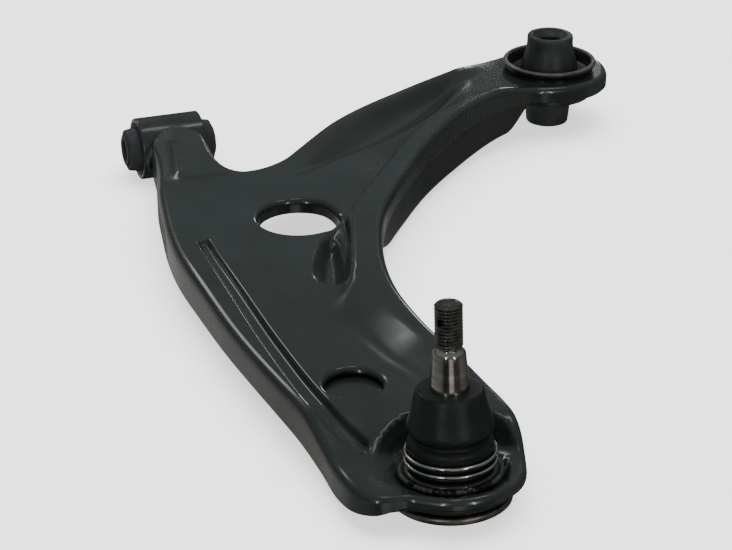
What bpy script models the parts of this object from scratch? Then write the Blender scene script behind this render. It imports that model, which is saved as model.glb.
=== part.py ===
"""Front lower control arm, built in millimetres and scaled to metres at the end.

Row frame while building: X along the front bush from front to rear, Y inboard, Z up along the rear
bush. The front bush, rear bush and ball joint places below are the driving layout.
"""
import math

import bmesh
import bpy
import numpy as np
from mathutils import Matrix, Vector
from mathutils.geometry import delaunay_2d_cdt

MM = 0.001

# ---- driving layout (mm) -------------------------------------------------------------------
FRONT = (-8.5, 0.0, 17.5)          # centre of the front bush, axis along X
REAR = (230.0, 2.0)                # rear bush axis, vertical
JOINT = (14.5, -377.5)             # ball joint base centre
JOINT_LEAN = math.radians(5.0)     # ball joint axis leans inboard
CAP_R = 26.0                       # closing plate radius
JOINT_Z = CAP_R * math.sin(JOINT_LEAN)

SHEET = 2.5                        # pressed steel thickness
GAP = 0.35                         # air between neighbours
WEB_Z = 28.0                       # top of the web at the small hole
SMALL_HOLE = (-6.5, -313.5, 12.8)  # x, y, radius
LARGE_HOLE = (23.0, -145.0, 21.0)
SMALL_RIM = 4.0                    # depth of the turned-in rims
LARGE_RIM = 8.0

EYE_R, EYE_BORE, EYE_LEN = 17.5, 14.7, 37.0
BUSH_CAN_R, BUSH_CAN_BORE = 14.4, 13.0
BOSS_OUT = 6.5                     # rubber standing out past the eye
SLEEVE_R, SLEEVE_BORE, SLEEVE_LEN = 8.7, 6.2, 52.0

CAN_R, CAN_BORE, CAN_BOTTOM, CAN_TOP = 25.7, 24.2, 18.0, 40.0
CORE_TOP = 55.0
CORE_BORE = 7.1

THREAD_R = 5.95                    # M12 x 1.5
BALL_R, BALL_Z = 11.0, 14.0

# ---- plan outline: x, y, bottom of the skirt, edge radius ----------------------------------
OUTLINE = [
    (-24.5, -23.5, 10, 6), (-26.6, -40, 10, 6), (-30.4, -60, 10.5, 6), (-36, -82, 11, 5),
    (-41, -110, 12, 4.5), (-45.5, -140, 12, 4.5), (-47.5, -170, 12, 4.5), (-46.5, -205, 12, 4.5),
    (-44.8, -240, 12, 4.5), (-42, -272, 12, 4.5), (-38.8, -300, 11.5, 4.5), (-35.5, -325, 10, 4.5),
    (-33.5, -348, 7.5, 4.5), (-32, -366, 6, 4.2), (-27.5, -382, 6.5, 4), (-17.5, -394, 10, 3.6),
    (-6, -401, 13, 3.2), (4, -405.3, 15, 3), (14.5, -407, 16, 3), (25.5, -405.3, 16, 3),
    (35.3, -400, 16.5, 3), (42.3, -391.5, 16.5, 3), (46.4, -380, 16.5, 3.2), (48.7, -367, 16, 3.6),
    (49, -352, 16, 4), (48.3, -336, 16, 4.5), (45.7, -315, 16, 4.5), (42.5, -290, 16, 4.5),
    (41, -262, 17, 4.5), (41.5, -238, 18, 4.5), (45.5, -213, 20, 4.5), (52.5, -190, 23, 4.5),
    (62, -168, 25.5, 4.5), (74.5, -148, 27, 4.5), (92, -124, 28, 4.5), (114, -96.5, 28, 4.5),
    (137, -72.5, 28, 4.5), (160, -52.5, 27.5, 4.5), (183, -38, 27, 4.2), (204, -30.5, 26, 3.8),
    (217, -32, 25, 3.6), (230, -32.8, 24.6, 3.6), (244, -30.3, 25, 3.8), (255, -22.8, 25.5, 4),
    (262.8, -10.5, 24.5, 4.5), (265.8, 3, 23.5, 4.5), (262.8, 16, 24, 4.5), (255, 26.5, 25, 4.5),
    (244, 33, 25, 4.5), (230, 35, 25, 4.5), (215, 32.8, 25, 4.5), (203, 28.3, 24.5, 4.5),
    (190, 22.5, 24, 4.5), (178, 16.5, 23, 4.5), (160, 7, 22, 4.5), (130, -8.5, 22, 4.5),
    (99, -24.5, 21, 4.5), (75, -40, 20, 4.5), (51, -58.5, 18, 4.5), (37.5, -69.5, 16, 4.5),
    (24, -76, 15, 4.5), (13.5, -76.6, 14, 4.5), (7.6, -72, 13, 5), (5.2, -64, 12, 5.5),
    (4.7, -54, 11, 6), (5.2, -42, 10, 6), (6.5, -23.5, 10, 6),
]
GROOVE = [(-31.0, -157), (-31.5, -180), (-30.5, -216), (-28.5, -262), (-25, -312), (-20, -338),
          (-14, -353)]
INNER_EDGE = [(24, -76), (37.5, -69.5), (51, -58.5), (75, -40), (99, -24.5), (130, -8.5), (160, 7),
              (178, 16.5), (203, 28.3)]
OUTER_EDGE = [(49, -352), (48.3, -336), (45.7, -315), (42.5, -290), (41, -262), (41.5, -238),
              (45.5, -213), (52.5, -190), (62, -168), (74.5, -148), (92, -124), (114, -96.5),
              (137, -72.5), (160, -52.5), (183, -38), (204, -30.5)]
RAIL_EDGE = [(190, -28), (149, -47), (108, -78), (79, -112), (57, -138), (42, -159), (36, -178), (29, -200),
             (20, -222), (10, -234), (3, -245), (2, -256), (5, -269), (8, -285), (11, -300), (15, -310),
             (18, -324)]
LEAF = [(29, -95), (47, -76), (71, -57), (95, -39), (128, -16), (158, 3), (172, 9), (171, -4), (160, -22),
        (148, -36), (130, -51), (100, -70), (69, -83), (41, -98)]
POCKET = [(41, -154), (31, -166), (22, -178), (14, -194), (10, -204), (8.5, -212), (10, -219), (16, -223),
          (23, -222), (28, -210), (33, -192), (36, -178), (39.5, -165)]
NECK_RIB = [(-13, -26), (-15, -42), (-19, -60), (-23, -80)]


def smooth(a, b, v):
    """Zero below a, one above b, smooth between."""
    t = np.clip((v - a) / (b - a), 0.0, 1.0)
    return t * t * (3.0 - 2.0 * t)


def line_distance(x, y, line):
    """Distance to a polyline and the share of its length at the nearest place."""
    best = np.full(np.shape(x), 1e9)
    share = np.zeros(np.shape(x))
    lengths = [math.dist(a, b) for a, b in zip(line[:-1], line[1:])]
    total = sum(lengths)
    run = 0.0
    for (a, b), length in zip(zip(line[:-1], line[1:]), lengths):
        dx, dy = b[0] - a[0], b[1] - a[1]
        t = np.clip(((x - a[0]) * dx + (y - a[1]) * dy) / (length * length), 0.0, 1.0)
        d = np.hypot(x - a[0] - t * dx, y - a[1] - t * dy)
        near = d < best
        best = np.where(near, d, best)
        share = np.where(near, (run + t * length) / total, share)
        run += length
    return best, share


def side_of(x, y, line):
    """Plus one to the left of a polyline's travel, minus one to the right, at its nearest segment."""
    best, side = np.full(np.shape(x), 1e9), np.zeros(np.shape(x))
    for a, b in zip(line[:-1], line[1:]):
        dx, dy = b[0] - a[0], b[1] - a[1]
        t = np.clip(((x - a[0]) * dx + (y - a[1]) * dy) / (dx * dx + dy * dy), 0.0, 1.0)
        away = np.hypot(x - a[0] - t * dx, y - a[1] - t * dy)
        near = away < best - 1e-9
        best = np.where(near, away, best)
        side = np.where(near, np.sign(dx * (y - a[1]) - dy * (x - a[0])), side)
    return side


def joint_plane(y, height):
    """Height of a plane square to the leaning ball joint axis."""
    return JOINT_Z + height / math.cos(JOINT_LEAN) - math.tan(JOINT_LEAN) * (y - JOINT[1])


def top_height(x, y):
    """Outer face of the upper stamping."""
    x = np.asarray(x, float)
    y = np.asarray(y, float)
    along = np.clip(((x - 40) * 0.80 + (y + 140) * 0.60) / 236.0, 0.0, 1.0)
    rear = np.hypot(x - REAR[0], y - REAR[1])
    z = WEB_Z + 2.6 * smooth(-270.0, -180.0, y) + 3.4 * smooth(0.05, 0.75, along)
    # the slope from the rail line up to the outer crest, with a trough along its foot
    near_rear = smooth(30.0, 62.0, rear)
    d_out, s_out = line_distance(x, y, OUTER_EDGE)
    d_rail, _ = line_distance(x, y, RAIL_EDGE)
    outside = side_of(x, y, RAIL_EDGE) > 0
    share = np.where(outside, d_rail / (d_rail + np.maximum(d_out - 4.0, 0.0) + 1e-6), 0.0)
    far = smooth(-285.0, -205.0, y)
    form = far * smooth(0.0, 0.34, share) + (1.0 - far) * (1.6 * smooth(0.28, 0.98, share)
                                                           - 0.6 * smooth(0.0, 0.34, share))
    crest = 5.0 + 3.5 * smooth(0.30, 0.6, s_out)
    rise = smooth(0.03, 0.16, s_out) * near_rear
    z = z + crest * rise * form * (1.0 - smooth(0.8, 1.0, s_out) * 0.4)
    trough = 2.8 * rise * smooth(-168.0, -142.0, y) * (1.0 - smooth(0.0, 0.25, share))
    z = z - trough * np.exp(-(d_rail / 9.0) ** 2)
    d_in, s_in = line_distance(x, y, INNER_EDGE)
    z = z + 4.0 * smooth(0.05, 0.35, s_in) * near_rear * (1.0 - smooth(6.0, 16.0, d_in))
    # leaf shaped hollow along the inner side of the rear arm
    d_leaf, _ = line_distance(x, y, LEAF + LEAF[:1])
    within = inside(np.stack([x.ravel(), y.ravel()], 1), LEAF).reshape(x.shape)
    z = z - 5.0 * np.where(within, smooth(0.5, 13.0, d_leaf), 0.0) * smooth(28.0, 60.0, x)
    z = z + 1.5 * np.exp(-(d_leaf / 3.4) ** 2) * smooth(30.0, 80.0, x) * smooth(4.0, -12.0, y - x + 175.0)
    # pocket beside the large hole, deepening away from it
    d_pocket, _ = line_distance(x, y, POCKET + POCKET[:1])
    within = inside(np.stack([x.ravel(), y.ravel()], 1), POCKET).reshape(x.shape)
    z = z - np.where(within, 7.6 * smooth(-0.8, 9.0, d_pocket), 0.0) * smooth(-160.0, -192.0, y)
    # pressed groove down the front side
    d_groove, _ = line_distance(x, y, GROOVE)
    z = z - 2.9 * (1.0 - smooth(1.6, 4.2, d_groove)) * smooth(-155.0, -158.0, y)
    # left side drops towards the nose
    z = z - 9.0 * smooth(-318.0, -372.0, y) * smooth(6.0, -30.0, x)
    # recess for the ball joint
    r = np.hypot(x - JOINT[0], y - JOINT[1])
    left = smooth(10.0, -20.0, x) * smooth(-345.0, -385.0, y)
    floor = joint_plane(y, 11.8) + 2.2 * smooth(22.6, 25.5, r)
    z = floor + (z - floor) * smooth(25.0, 34.0 + 6.0 * left, r)
    early = 20.0 * smooth(22.0, 44.0, x)
    nose = smooth(0.0, -15.0, y + 383.0 - early)
    z = z + (joint_plane(y, 14.6) - z) * nose * smooth(22.6, 25.5, r)
    # neck up to the front eye: a small step, a rib and a side that falls away left of the rib
    neck = (0.55 * smooth(-95.0, -62.0, y) + 0.45 * smooth(-84.0, -77.5, y)) * smooth(34.0, 9.0, x)
    fall = np.clip(-14.0 + 0.18 * (y + 36.0) - x, 0.0, 16.0)
    far_side = np.clip((x + 4.0) / 12.0, 0.0, 1.2)
    z = z + neck * (1.6 - 0.30 * fall - 1.2 * far_side ** 2)
    d_rib, s_rib = line_distance(x, y, NECK_RIB)
    return z + 1.2 * np.exp(-(d_rib / 2.6) ** 2) * smooth(0.0, 0.2, s_rib) * smooth(1.0, 0.85, s_rib)


def bottom_height(x, y):
    """Outer (lower) face of the tray."""
    x = np.asarray(x, float)
    y = np.asarray(y, float)
    along = np.clip(((x - 40) * 0.80 + (y + 140) * 0.60) / 236.0, 0.0, 1.0)
    rear = np.hypot(x - REAR[0], y - REAR[1])
    z = 10.0 - 6.5 * smooth(0.02, 0.25, along)
    z = z - 5.5 * smooth(25.0, 60.0, x) * smooth(-235.0, -180.0, y) * (1.0 - smooth(0.02, 0.25, along))
    z = z + (27.0 - z) * (1.0 - 0.75 * smooth(29.5, 52.0, rear) - 0.25 * smooth(27.0, 110.0, rear))
    ahead = (x - LARGE_HOLE[0]) * 0.30 + (y - LARGE_HOLE[1]) * 0.954
    across = np.abs((x - LARGE_HOLE[0]) * 0.954 - (y - LARGE_HOLE[1]) * 0.30)
    pad = np.where(ahead > 0.0, across, np.hypot(x - LARGE_HOLE[0], y - LARGE_HOLE[1]))
    raised = np.maximum(z, 22.4 - 0.40 * np.maximum(0.0, ahead - 30.0))
    z = z + (raised - z) * (1.0 - smooth(30.0, 46.0, pad))
    under = np.hypot(x - SMALL_HOLE[0], y - SMALL_HOLE[1])
    z = z + (19.6 - z) * (1.0 - smooth(17.0, 30.0, under))
    r = np.hypot(x - JOINT[0], y - JOINT[1])
    low = joint_plane(y, 5.0)
    z = low + (z - low) * smooth(33.0, 52.0, r)
    return np.minimum(z, top_height(x, y) - 2.0 * SHEET - 1.8)


# ---- small mesh helpers --------------------------------------------------------------------
def collection(name):
    c = bpy.data.collections.new(name)
    bpy.context.scene.collection.children.link(c)
    return c


def material(name, color, metallic, rough):
    m = bpy.data.materials.new(name)
    m.use_nodes = True
    b = m.node_tree.nodes["Principled BSDF"]
    b.inputs["Base Color"].default_value = (*color, 1.0)
    b.inputs["Metallic"].default_value = metallic
    b.inputs["Roughness"].default_value = rough
    return m


def mesh_object(name, verts, faces, mat, where):
    me = bpy.data.meshes.new(name)
    me.from_pydata([Vector(v) * MM for v in verts], [], faces)
    me.validate()
    ob = bpy.data.objects.new(name, me)
    where.objects.link(ob)
    me.materials.append(mat)
    return ob


def bake(ob):
    """Replace the object's mesh by its evaluated one, clean and outward facing."""
    dg = bpy.context.evaluated_depsgraph_get()
    ev = ob.evaluated_get(dg)
    me = bpy.data.meshes.new_from_object(ev)
    bm = bmesh.new()
    bm.from_mesh(me)
    bmesh.ops.remove_doubles(bm, verts=bm.verts, dist=0.00001)
    bmesh.ops.dissolve_degenerate(bm, dist=0.000002, edges=bm.edges)
    bmesh.ops.recalc_face_normals(bm, faces=bm.faces)
    if bm.calc_volume(signed=True) < 0.0:
        bmesh.ops.reverse_faces(bm, faces=bm.faces)
    bm.to_mesh(me)
    bm.free()
    old = ob.data
    ob.modifiers.clear()
    ob.data = me
    me.name = ob.name
    if old.users == 0:
        bpy.data.meshes.remove(old)
    return ob


def finish(ob, angle=32.0):
    for p in ob.data.polygons:
        p.use_smooth = True
    ob.data.set_sharp_from_angle(angle=math.radians(angle))
    return ob


def turned(name, profile, steps, mat, where, place):
    """Turned solid: the profile runs down the outside from top to bottom and back up a bore."""
    closed = profile[0][0] > 0.001
    verts = [(r, 0.0, z) for r, z in profile]
    edges = [(i, i + 1) for i in range(len(verts) - 1)]
    if closed:
        edges.append((len(verts) - 1, 0))
    me = bpy.data.meshes.new(name)
    me.from_pydata([Vector(v) * MM for v in verts], edges, [])
    ob = bpy.data.objects.new(name, me)
    where.objects.link(ob)
    sc = ob.modifiers.new("turn", "SCREW")
    sc.axis = "Z"
    sc.steps = steps
    sc.render_steps = steps
    sc.use_merge_vertices = True
    sc.merge_threshold = 0.00001
    bake(ob)
    ob.data.materials.clear()
    ob.data.materials.append(mat)
    ob.data.transform(place)
    return finish(ob)


def torus(name, radius, height, wire, mat, where, place, major=44, minor=6):
    bm = bmesh.new()
    rings = []
    for i in range(major):
        a = 2 * math.pi * i / major
        ring = []
        for j in range(minor):
            b = 2 * math.pi * j / minor
            r = radius + wire * math.cos(b)
            ring.append(bm.verts.new(Vector((r * math.cos(a), r * math.sin(a),
                                             height + wire * math.sin(b))) * MM))
        rings.append(ring)
    for i in range(major):
        for j in range(minor):
            a, b = rings[i], rings[(i + 1) % major]
            bm.faces.new((a[j], b[j], b[(j + 1) % minor], a[(j + 1) % minor]))
    bmesh.ops.recalc_face_normals(bm, faces=bm.faces)
    me = bpy.data.meshes.new(name)
    bm.to_mesh(me)
    bm.free()
    me.transform(place)
    me.materials.append(mat)
    ob = bpy.data.objects.new(name, me)
    where.objects.link(ob)
    return finish(ob, 60)


def bead(name, points, radius, mat, where):
    """Weld bead along a path, rounded and closed at the ends."""
    cu = bpy.data.curves.new(name, "CURVE")
    cu.dimensions = "3D"
    sp = cu.splines.new("POLY")
    sp.points.add(len(points) - 1)
    for i, p in enumerate(points):
        sp.points[i].co = (p[0] * MM, p[1] * MM, p[2] * MM, 1.0)
        sp.points[i].radius = 0.55 if i in (0, len(points) - 1) else 1.0
    cu.bevel_depth = radius * MM
    cu.bevel_resolution = 2
    cu.use_fill_caps = True
    ob = bpy.data.objects.new(name, cu)
    where.objects.link(ob)
    bpy.context.view_layer.update()
    dg = bpy.context.evaluated_depsgraph_get()
    me = bpy.data.meshes.new_from_object(ob.evaluated_get(dg))
    bm = bmesh.new()
    bm.from_mesh(me)
    bmesh.ops.remove_doubles(bm, verts=bm.verts, dist=0.00001)
    bmesh.ops.recalc_face_normals(bm, faces=bm.faces)
    bm.to_mesh(me)
    bm.free()
    bpy.data.objects.remove(ob)
    bpy.data.curves.remove(cu)
    me.name = name
    me.materials.clear()
    me.materials.append(mat)
    out = bpy.data.objects.new(name, me)
    where.objects.link(out)
    return finish(out, 60)


def spline_ring(points, spacing):
    """Closed Catmull-Rom curve through the points at about even spacing; carries extra values."""
    p = np.array(points, float)
    n = len(p)
    dense = []
    for i in range(n):
        a, b, c, d = p[i - 1], p[i], p[(i + 1) % n], p[(i + 2) % n]
        for t in np.linspace(0.0, 1.0, 16, endpoint=False):
            dense.append(0.5 * (2 * b + (c - a) * t + (2 * a - 5 * b + 4 * c - d) * t ** 2
                                + (3 * b - 3 * c + d - a) * t ** 3))
    dense = np.array(dense)
    step = np.hypot(*(np.roll(dense, -1, 0) - dense)[:, :2].T)
    run = np.concatenate([[0.0], np.cumsum(step)])
    closed = np.vstack([dense, dense[:1]])
    count = int(round(run[-1] / spacing))
    want = np.linspace(0.0, run[-1], count, endpoint=False)
    return np.stack([np.interp(want, run, closed[:, k]) for k in range(p.shape[1])], 1)


def inward(ring):
    """Inward mitre vectors of a counter-clockwise ring: one millimetre square to both edges."""
    t = np.roll(ring[:, :2], -1, 0) - ring[:, :2]
    t /= np.linalg.norm(t, axis=1)[:, None]
    after = np.stack([-t[:, 1], t[:, 0]], 1)
    before = np.roll(after, 1, 0)
    share = 1.0 + (after * before).sum(1)
    return (after + before) / np.maximum(share, 0.7)[:, None]


def inside(points, ring):
    x, y = points[:, 0], points[:, 1]
    hit = np.zeros(len(points), bool)
    n = len(ring)
    for i in range(n):
        x1, y1 = ring[i]
        x2, y2 = ring[(i + 1) % n]
        cross = (y1 > y) != (y2 > y)
        with np.errstate(divide="ignore", invalid="ignore"):
            at = (x2 - x1) * (y - y1) / (y2 - y1) + x1
        hit ^= cross & (x < at)
    return hit


def ring_distance(points, ring):
    d = np.full(len(points), 1e9)
    n = len(ring)
    for i in range(n):
        a, b = ring[i], ring[(i + 1) % n]
        ab = b - a
        t = np.clip(((points - a) @ ab) / (ab @ ab), 0.0, 1.0)
        d = np.minimum(d, np.linalg.norm(points - a - t[:, None] * ab, axis=1))
    return d


def circle(cx, cy, r, n):
    a = np.linspace(0.0, 2 * math.pi, n, endpoint=False)
    return np.stack([cx + r * np.cos(a), cy + r * np.sin(a)], 1)


def fill(edge, holes, spacing, extra):
    """Triangulate the inside of the edge ring less the holes, with inner points."""
    lo, hi = edge.min(0), edge.max(0)
    gx = np.arange(lo[0], hi[0], spacing)
    gy = np.arange(lo[1], hi[1], spacing * 0.87)
    grid = np.array([(u + (0.5 * spacing if j % 2 else 0.0), v) for j, v in enumerate(gy) for u in gx])
    pts = np.vstack([grid] + [extra]) if len(extra) else grid
    room = np.full(len(pts), spacing * 0.5)
    room[len(grid):] = 1.8
    keep = inside(pts, edge) & (ring_distance(pts, edge) > room)
    for h in holes:
        keep &= ~inside(pts, h) & (ring_distance(pts, h) > room)
    pts = pts[keep]
    if len(extra):
        n_extra = int(keep[len(grid):].sum())
        base, ex = pts[:len(pts) - n_extra], pts[len(pts) - n_extra:]
        far = np.array([np.min(np.hypot(*(ex - q).T)) > spacing * 0.5 for q in base])
        pts = np.vstack([base[far], ex])
    verts = [tuple(v) for v in edge]
    edges = [(i, (i + 1) % len(edge)) for i in range(len(edge))]
    for h in holes:
        s = len(verts)
        verts += [tuple(v) for v in h]
        edges += [(s + i, s + (i + 1) % len(h)) for i in range(len(h))]
    fixed = len(verts)
    verts += [tuple(v) for v in pts]
    out, _, faces, ov, _, _ = delaunay_2d_cdt([Vector(v) for v in verts], edges, [], 0, 1e-4)
    out = np.array([tuple(v) for v in out])
    tris = []
    centres = np.array([out[list(f)].mean(0) for f in faces])
    ok = inside(centres, edge)
    for h in holes:
        ok &= ~inside(centres, h)
    order = {}
    for i, src in enumerate(ov):
        for s in src:
            if s < fixed:
                order[s] = i
    for f, good in zip(faces, ok):
        if good:
            a, b, c = out[list(f)]
            turn = (b[0] - a[0]) * (c[1] - a[1]) - (b[1] - a[1]) * (c[0] - a[0])
            tris.append(tuple(f) if turn > 0 else tuple(reversed(f)))
    return out, tris, order


def shell(name, ring, rows, holes, height, spacing, extra, thick, mat, where, up):
    """Stamped sheet: skirt rows, rolled edge, filled face and turned hole rims, then thickness.

    rows: list of arrays (x, y, z) from the free skirt edge to the face edge.
    holes: list of lists of arrays (x, y, z) from the face to the free rim.
    """
    edge = rows[-1][:, :2]
    hole_edges = [h[0][:, :2] for h in holes]
    pts, tris, order = fill(edge, hole_edges, spacing, extra)
    z = height(pts[:, 0], pts[:, 1])
    verts = [(p[0], p[1], float(q)) for p, q in zip(pts, z)]
    faces = list(tris)
    n = len(edge)
    last = [order[i] for i in range(n)]
    for k, i in enumerate(last):
        verts[i] = tuple(rows[-1][k])
    for row in reversed(rows[:-1]):
        start = len(verts)
        verts += [tuple(v) for v in row]
        new = list(range(start, start + n))
        for i in range(n):
            j = (i + 1) % n
            faces.append((new[i], new[j], last[j], last[i]))
        last = new
    offset = n
    for h in holes:
        m = len(h[0])
        last = [order[offset + i] for i in range(m)]
        for k, i in enumerate(last):
            verts[i] = tuple(h[0][k])
        offset += m
        for row in h[1:]:
            start = len(verts)
            verts += [tuple(v) for v in row]
            new = list(range(start, start + m))
            for i in range(m):
                j = (i + 1) % m
                faces.append((last[i], last[j], new[j], new[i]))
            last = new
    if not up:
        faces = [tuple(reversed(f)) for f in faces]
    ob = mesh_object(name, verts, faces, mat, where)
    so = ob.modifiers.new("sheet", "SOLIDIFY")
    so.thickness = thick * MM
    so.offset = -1.0
    so.use_even_offset = True
    so.use_rim = True
    bake(ob)
    ob.data.materials.clear()
    ob.data.materials.append(mat)
    return finish(ob, 40)


def with_z(ring, z):
    return np.column_stack([ring[:, :2], z])


# ---- start clean ----------------------------------------------------------------------------
for old in list(bpy.data.objects):
    bpy.data.objects.remove(old)

parts = collection("control_arm")
cutters = collection("cutters")

PAINT = material("black_paint", (0.015, 0.017, 0.017), 0.0, 0.28)
PAINT_EYE = material("black_paint_eye", (0.016, 0.018, 0.018), 0.0, 0.3)
STEEL = material("turned_steel", (0.55, 0.53, 0.5), 1.0, 0.25)
BARE = material("bare_steel", (0.42, 0.4, 0.37), 1.0, 0.38)
CAN = material("can_steel", (0.16, 0.14, 0.12), 0.6, 0.45)
RUBBER = material("rubber", (0.018, 0.018, 0.018), 0.0, 0.6)
WIRE = material("spring_wire", (0.6, 0.58, 0.54), 1.0, 0.2)
POLYMER = material("seat_polymer", (0.75, 0.74, 0.7), 0.0, 0.4)
WELD = material("weld_bead", (0.03, 0.028, 0.025), 0.2, 0.4)

# ---- upper shell ----------------------------------------------------------------------------
UP_SPACING = 10.0
outer = spline_ring(OUTLINE, UP_SPACING)
normal = inward(outer)
radius = outer[:, 3]


def offset_ring(dist):
    d = np.asarray(dist).reshape(-1, 1) if np.ndim(dist) else dist
    return outer[:, :2] + normal * d


face_edge = offset_ring(radius)
z_edge = top_height(face_edge[:, 0], face_edge[:, 1])
outer[:, 2] = np.minimum(outer[:, 2], z_edge - radius - 1.2)
rows = [with_z(offset_ring(0.0), outer[:, 2])]
rows.append(with_z(offset_ring(0.0), z_edge - radius))
for turn in (30.0, 60.0):
    c, s = math.cos(math.radians(turn)), math.sin(math.radians(turn))
    rows.append(with_z(offset_ring(radius * (1.0 - c)), z_edge - radius * (1.0 - s)))
rows.append(with_z(face_edge, z_edge))


def hole_rows(cx, cy, r, count, roll, depth, height):
    big = circle(cx, cy, r + roll, count)
    out = [with_z(big, height(big[:, 0], big[:, 1]))]
    if depth > 0:
        for turn in (45.0, 90.0):
            c, s = math.cos(math.radians(turn)), math.sin(math.radians(turn))
            ring = circle(cx, cy, r + roll * (1.0 - s), count)
            out.append(with_z(ring, height(big[:, 0], big[:, 1]) - roll * (1.0 - c)))
        ring = circle(cx, cy, r, count)
        out.append(with_z(ring, height(big[:, 0], big[:, 1]) - depth))
    return out


def leaned_hole(r, height, count):
    """Hole ring square to the leaning ball joint axis."""
    ring = circle(0.0, 0.0, r, count)
    c, s = math.cos(JOINT_LEAN), math.sin(JOINT_LEAN)
    x = JOINT[0] + ring[:, 0]
    y = JOINT[1] + ring[:, 1] * c + height * s
    z = JOINT_Z - ring[:, 1] * s + height * c
    return [np.column_stack([x, y, z])]


upper_holes = [
    hole_rows(*SMALL_HOLE, 28, 2.9, SMALL_RIM, top_height),
    hole_rows(*LARGE_HOLE, 40, 3.0, LARGE_RIM, top_height),
    leaned_hole(20.5, 11.8, 40),
    hole_rows(REAR[0], REAR[1], 26.05, 44, 0.0, 0.0, top_height),
]


def beside(line, gaps, step, closed=False):
    """Points at even steps beside a line."""
    whole = spline_ring(line if closed else line + line[-2:0:-1], step)[:, :2]
    part = whole if closed else whole[:len(whole) // 2 + 1]
    t = np.gradient(part, axis=0)
    t /= np.linalg.norm(t, axis=1)[:, None]
    side = np.stack([-t[:, 1], t[:, 0]], 1)
    return np.vstack([part + side * k for k in gaps])


recess = np.vstack([circle(JOINT[0], JOINT[1], r, k) for r, k in ((23.4, 36), (26.6, 36), (31.5, 38))])
extra = np.vstack([beside(GROOVE, (-4.2, -1.6, 1.6, 4.2), 8.0), recess, beside(RAIL_EDGE, (-0.5, 4.5), 9.0),
                   beside(LEAF, (0.5,), 9.0, True), beside(POCKET, (0.3, 5.0), 6.0, True)])
upper = shell("upper_shell", outer, rows, upper_holes, top_height, UP_SPACING, extra, SHEET, PAINT,
              parts, True)

# ---- lower shell ----------------------------------------------------------------------------
inset = SHEET + GAP
edge_r = 3.6
wall = offset_ring(inset)
floor_edge = offset_ring(inset + edge_r)
floor_z = bottom_height(floor_edge[:, 0], floor_edge[:, 1])
top_limit = z_edge - np.maximum(radius, 2.6) - 0.45
for more in (SHEET, SHEET + 1.5):
    under = offset_ring(inset + more)
    top_limit = np.minimum(top_limit, top_height(under[:, 0], under[:, 1]) - SHEET - 0.8)
wall_top = np.minimum(outer[:, 2] + 4.0, top_limit)
room = np.clip(wall_top - floor_z - 0.6, 0.8, edge_r)
low_rows = [with_z(wall, np.maximum(wall_top, floor_z + room + 0.5))]
low_rows.append(with_z(wall, floor_z + room))
for turn in (30.0, 60.0):
    c, s = math.cos(math.radians(turn)), math.sin(math.radians(turn))
    low_rows.append(with_z(offset_ring(inset + edge_r * (1.0 - c)), floor_z + room * (1.0 - s)))
low_rows.append(with_z(floor_edge, floor_z))


def low_hole(cx, cy, r, count):
    ring = circle(cx, cy, r, count)
    return [with_z(ring, bottom_height(ring[:, 0], ring[:, 1]))]


lower_holes = [low_hole(LARGE_HOLE[0], LARGE_HOLE[1], 25.6, 36), leaned_hole(20.5, 5.0, 36),
               low_hole(REAR[0], REAR[1], 26.05, 40)]
low_extra = np.vstack([circle(REAR[0], REAR[1], 30.9, 28), circle(*SMALL_HOLE[:2], 18.0, 14),
                       circle(LARGE_HOLE[0], LARGE_HOLE[1], 28.0, 24), circle(JOINT[0], JOINT[1], 29.0, 24)])
lower = shell("lower_shell", outer, low_rows, lower_holes, bottom_height, 16.0,
              low_extra, SHEET, PAINT, parts, False)

# ---- front bush -----------------------------------------------------------------------------
along_x = Matrix.Translation(Vector(FRONT) * MM) @ Matrix.Rotation(math.radians(90), 4, "Y")
half = EYE_LEN / 2
turned("front_eye", [(EYE_R - 0.7, half), (EYE_R, half - 0.7), (EYE_R, 0.7 - half),
                     (EYE_R - 0.7, -half), (EYE_BORE, -half), (EYE_BORE, half)],
       56, PAINT_EYE, parts, along_x)
ch = half + 0.3
turned("front_bush_can", [(BUSH_CAN_R, ch), (BUSH_CAN_R, -ch), (BUSH_CAN_BORE, -ch),
                          (BUSH_CAN_BORE, ch)], 48, CAN, parts, along_x)
end = half + BOSS_OUT
body_r = BUSH_CAN_BORE - 0.3
bore_r = SLEEVE_R + 0.3
turned("front_bush_rubber", [(9.9, end), (11.6, end - 4.2), (12.4, half + 1.2), (body_r - 0.1, half + 0.5),
                             (body_r - 0.1, -half - 0.5), (12.4, -half - 1.2), (11.6, 4.2 - end), (9.9, -end),
                             (bore_r, -end), (bore_r, end)], 48, RUBBER, parts, along_x)
sh = SLEEVE_LEN / 2
turned("front_inner_sleeve", [(SLEEVE_R - 0.5, sh), (SLEEVE_R, sh - 0.5), (SLEEVE_R, 0.5 - sh),
                              (SLEEVE_R - 0.5, -sh), (SLEEVE_BORE, -sh), (SLEEVE_BORE, sh)],
       40, BARE, parts, along_x)

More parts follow.
